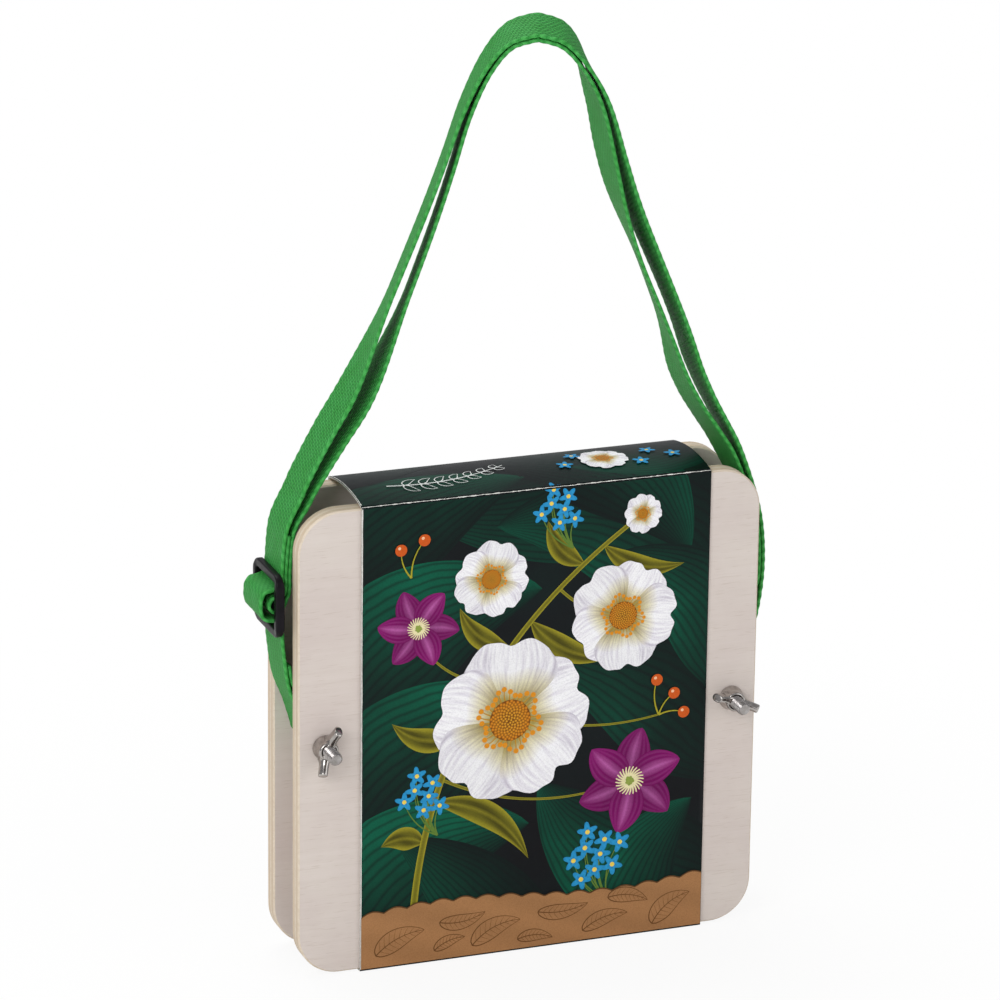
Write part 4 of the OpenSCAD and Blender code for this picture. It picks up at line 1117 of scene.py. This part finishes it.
# Selvedge: the last 1.2 mm is a chain of looped weft yarn, 3.6 mm to a loop
off_middle = add(tree, "Math", {0: uv[1]}, operation="ABSOLUTE")
at_edge = add(tree, "MapRange", {0: off_middle, 1: 0.86, 2: 0.9})
loop = add(tree, "Math", {0: uv[0], 1: 2.78}, operation="MULTIPLY")
loop = arches(tree, add(tree, "Math", {0: uv[1], 1: 3.0, 2: loop}, operation="MULTIPLY_ADD"))
# Raised off nought, so that the painted shade between the loops stays moderate
loop = add(tree, "MapRange", {0: loop, 3: 0.4, 4: 0.95})
height = add(tree, "Mix", {0: at_edge, 2: height, 3: loop}, data_type="FLOAT")
# Stray hairs of 0.4 mm and blotches of 6 mm keep the green from looking even
at = add(tree, "TexCoord").outputs["Object"]
hair_at = add(tree, "Mapping", {"Vector": at, "Scale": (2600, 2600, 2600)})
hair = add(tree, "TexNoise", {"Vector": hair_at, "Scale": 1.0, "Detail": 3.0})
blotch = add(tree, "TexNoise", {"Vector": at, "Scale": 160.0, "Detail": 2.0})
# The green follows the weave's height: painted shade in the gaps between the yarns and between the selvedge's
# loops, and a painted highlight on their crests
green = add(tree, "ValToRGB", {0: height}, [
    (0.0, "#114f1f"), (0.35, "#2e8c3d"), (0.8, "#42a34d"), (1.0, "#53b45d")])
fleck = add(tree, "ValToRGB", {0: hair}, [(0.3, "#b8d0b8"), (0.55, "#ffffff")])
green = add(tree, "Mix", {0: 0.6, 6: green, 7: fleck}, data_type="RGBA", blend_type="MULTIPLY")
patch = add(tree, "ValToRGB", {0: blotch}, [(0.3, "#e2f2dc"), (0.7, "#ffffff")])
green = add(tree, "Mix", {0: 1.0, 6: green, 7: patch}, data_type="RGBA", blend_type="MULTIPLY")
relief = add(tree, "Math", {0: hair, 1: 0.25, 2: height}, operation="MULTIPLY_ADD")
bump = add(tree, "Bump", {"Strength": 0.8, "Distance": 0.22 * MM, "Height": relief})
shade = add(tree, "BsdfPrincipled", {"Base Color": green, "Roughness": 0.62, "Normal": bump, "IOR": 1.49,
                                     "Specular IOR Level": 0.2})
add(tree, "OutputMaterial", {0: shade})

# The slider's part of the webbing is cut behind the slider's lower bar, out of sight
pass_all = mirrored(np.concatenate([pass_line, anchor_left]))
lower_cut = int(np.argmin(np.hypot(*(pass_all - [-slider_x, slider_z - slot_in]).T)))
for name, line, bodies, start, end, nodes in (
        ("webbing_over_the_top", over_top, ("press_base", "strap"), bend_low, bend_high,
         ("strap_loop_outer", "strap_loop_inner", "strap_bend_right", "strap_bend_left",
          "strap_anchor_right")),
        ("webbing_through_slider", pass_all[:lower_cut + 1], ("press_base", "slider"),
         bend_low, slider_bend_high, ("strap_slider_pass",)),
        ("webbing_round_left_bolt", pass_all[lower_cut:], ("press_base", "slider"), below_low, below_high,
         ("strap_anchor_left",)),
        ("webbing_sewn_end", mirrored(sewn), ("press_base", "slider"), bend_low, slider_bend_high,
         ("strap_sewn_end",))):
    band = webbing_mesh(name, line)
    band.data.materials.append(webbing)
    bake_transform(band)
    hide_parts(*nodes)

# Stitches
# A box of green bonded thread with a cross in it holds the webbing's end to the layer that it lies on, above
# the slider.
thread, tree = new_material("bonded_green_thread")
at = add(tree, "TexCoord").outputs["Object"]
lay_at = add(tree, "TexWave", {"Vector": at, "Scale": 700.0, "Distortion": 1.5, "Detail": 1.0},
             bands_direction="DIAGONAL").outputs[1]
# The green follows the twist: painted shade in the grooves between the plies and a painted highlight on the
# plies
tone = add(tree, "ValToRGB", {0: lay_at}, [(0.2, "#1f6b2c"), (0.8, "#49a552")])
bump = add(tree, "Bump", {"Strength": 0.5, "Distance": 0.08 * MM, "Height": lay_at})
shade = add(tree, "BsdfPrincipled", {"Base Color": tone, "Roughness": 0.5, "Normal": bump,
                                     "Specular IOR Level": 0.3})
add(tree, "OutputMaterial", {0: shade})
inner_face = moved(end_path, -strap_t / 2 - 0.05)
inner_face = inner_face[np.argsort(inner_face[:, 1])]
# Floats of 2.4 mm, 3 mm apart, round a box of 14 by 9 mm and across it from corner to corner
box_low, box_high, box_half = 159.5, 168.5, 7.0
box = np.array([(-1, 0), (1, 0), (1, 1), (-1, 1), (-1, 0), (1, 1)]) * [box_half, box_high - box_low]
box = box + [0, box_low]
float_half, thread_r, pitch_along = 1.2, 0.28, 3.0
along = np.linspace(-1, 1, 9)
thick = thread_r * np.sqrt(np.clip(1 - along ** 2, 0.01, 1))[:, None]
around = np.linspace(0, 2 * np.pi, 8, endpoint=False)
parts = []
for first, second in [*zip(box[:-1], box[1:]), (box[1], box[3])]:
    long = np.linalg.norm(second - first)
    cross = -turned_left(second - first) / long
    count = max(2, int(round(long / pitch_along)))
    for share in (np.arange(count) + 0.5) / count:
        line = first + (second - first) * share + np.outer(along, (second - first) / long) * float_half
        x = np.interp(line[:, 1], inner_face[:, 1], inner_face[:, 0])
        ring = np.empty((len(along), len(around), 3))
        ring[..., 0] = thick * np.sin(around) - x[:, None]
        ring[..., 1:] = line[:, None] + (thick * np.cos(around))[..., None] * cross
        parts.append(shell(ring, "face"))
stitches = merged("strap_end_stitches", parts)
stitches.data.materials.append(thread)
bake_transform(stitches)

# Three-bar slider
# Moulded black acetal, 28 x 24 x 2.6 mm: two rails and three rounded bars, with the webbing's end sewn round
# the middle one. The mould leaves a dull skin that shines only softly.
acetal = hard_skin("black_acetal", (240.0, 2.0), [(0.3, "#0d0a0e"), (0.7, "#151117")],
                   (1600.0, 3.0), (0.28, 0.42), (0.3, 0.03), {"IOR": 1.48, "Specular IOR Level": 0.14})
# Frame: a rounded oval section carried round a rounded rectangle
corner, frame_w, frame_h = 3.0, slider_w - slider_bar, slider_h - slider_bar
bar_half, rail_more = 11.6, 0.33
quarter = np.radians(np.arange(0, 91, 7.5))
centres = np.array([(1, 1), (-1, 1), (-1, -1), (1, -1)]) * [frame_w / 2 - corner, frame_h / 2 - corner]
corners = [centre + corner * compass(quarter + k * math.pi / 2) for k, centre in enumerate(centres)]
loop_line = filled(np.concatenate(corners + [corners[0][:1]]), 1.0)[:-1]
outwards = -turned_left(unit(np.roll(loop_line, -1, 0) - np.roll(loop_line, 1, 0)))
bulge, swell = oval(np.linspace(0, 2 * np.pi, 32, endpoint=False), slider_bar / 2, slider_t / 2, 0.4)
flat = loop_line[:, None] + outwards[:, None] * bulge[:, None]
# The rails are a third thicker than the bars
ring = np.stack([swell * (1 + rail_more * outwards[:, :1] ** 4), flat[..., 0], flat[..., 1]], -1)
# The middle bar runs into both rails
bar_y = np.linspace(-bar_half, bar_half, 12)
bar = np.stack(np.broadcast_arrays(swell, bar_y[:, None], bulge * 0.98), -1)
parts = [(ring, grid_faces(len(loop_line), len(swell), True, True)), shell(bar, "face")]
slider = merged("three_bar_slider", parts, (-slider_x, 0, slider_z))
slider.data.materials.append(acetal)
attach(slider, "slider")
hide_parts("strap_slider")
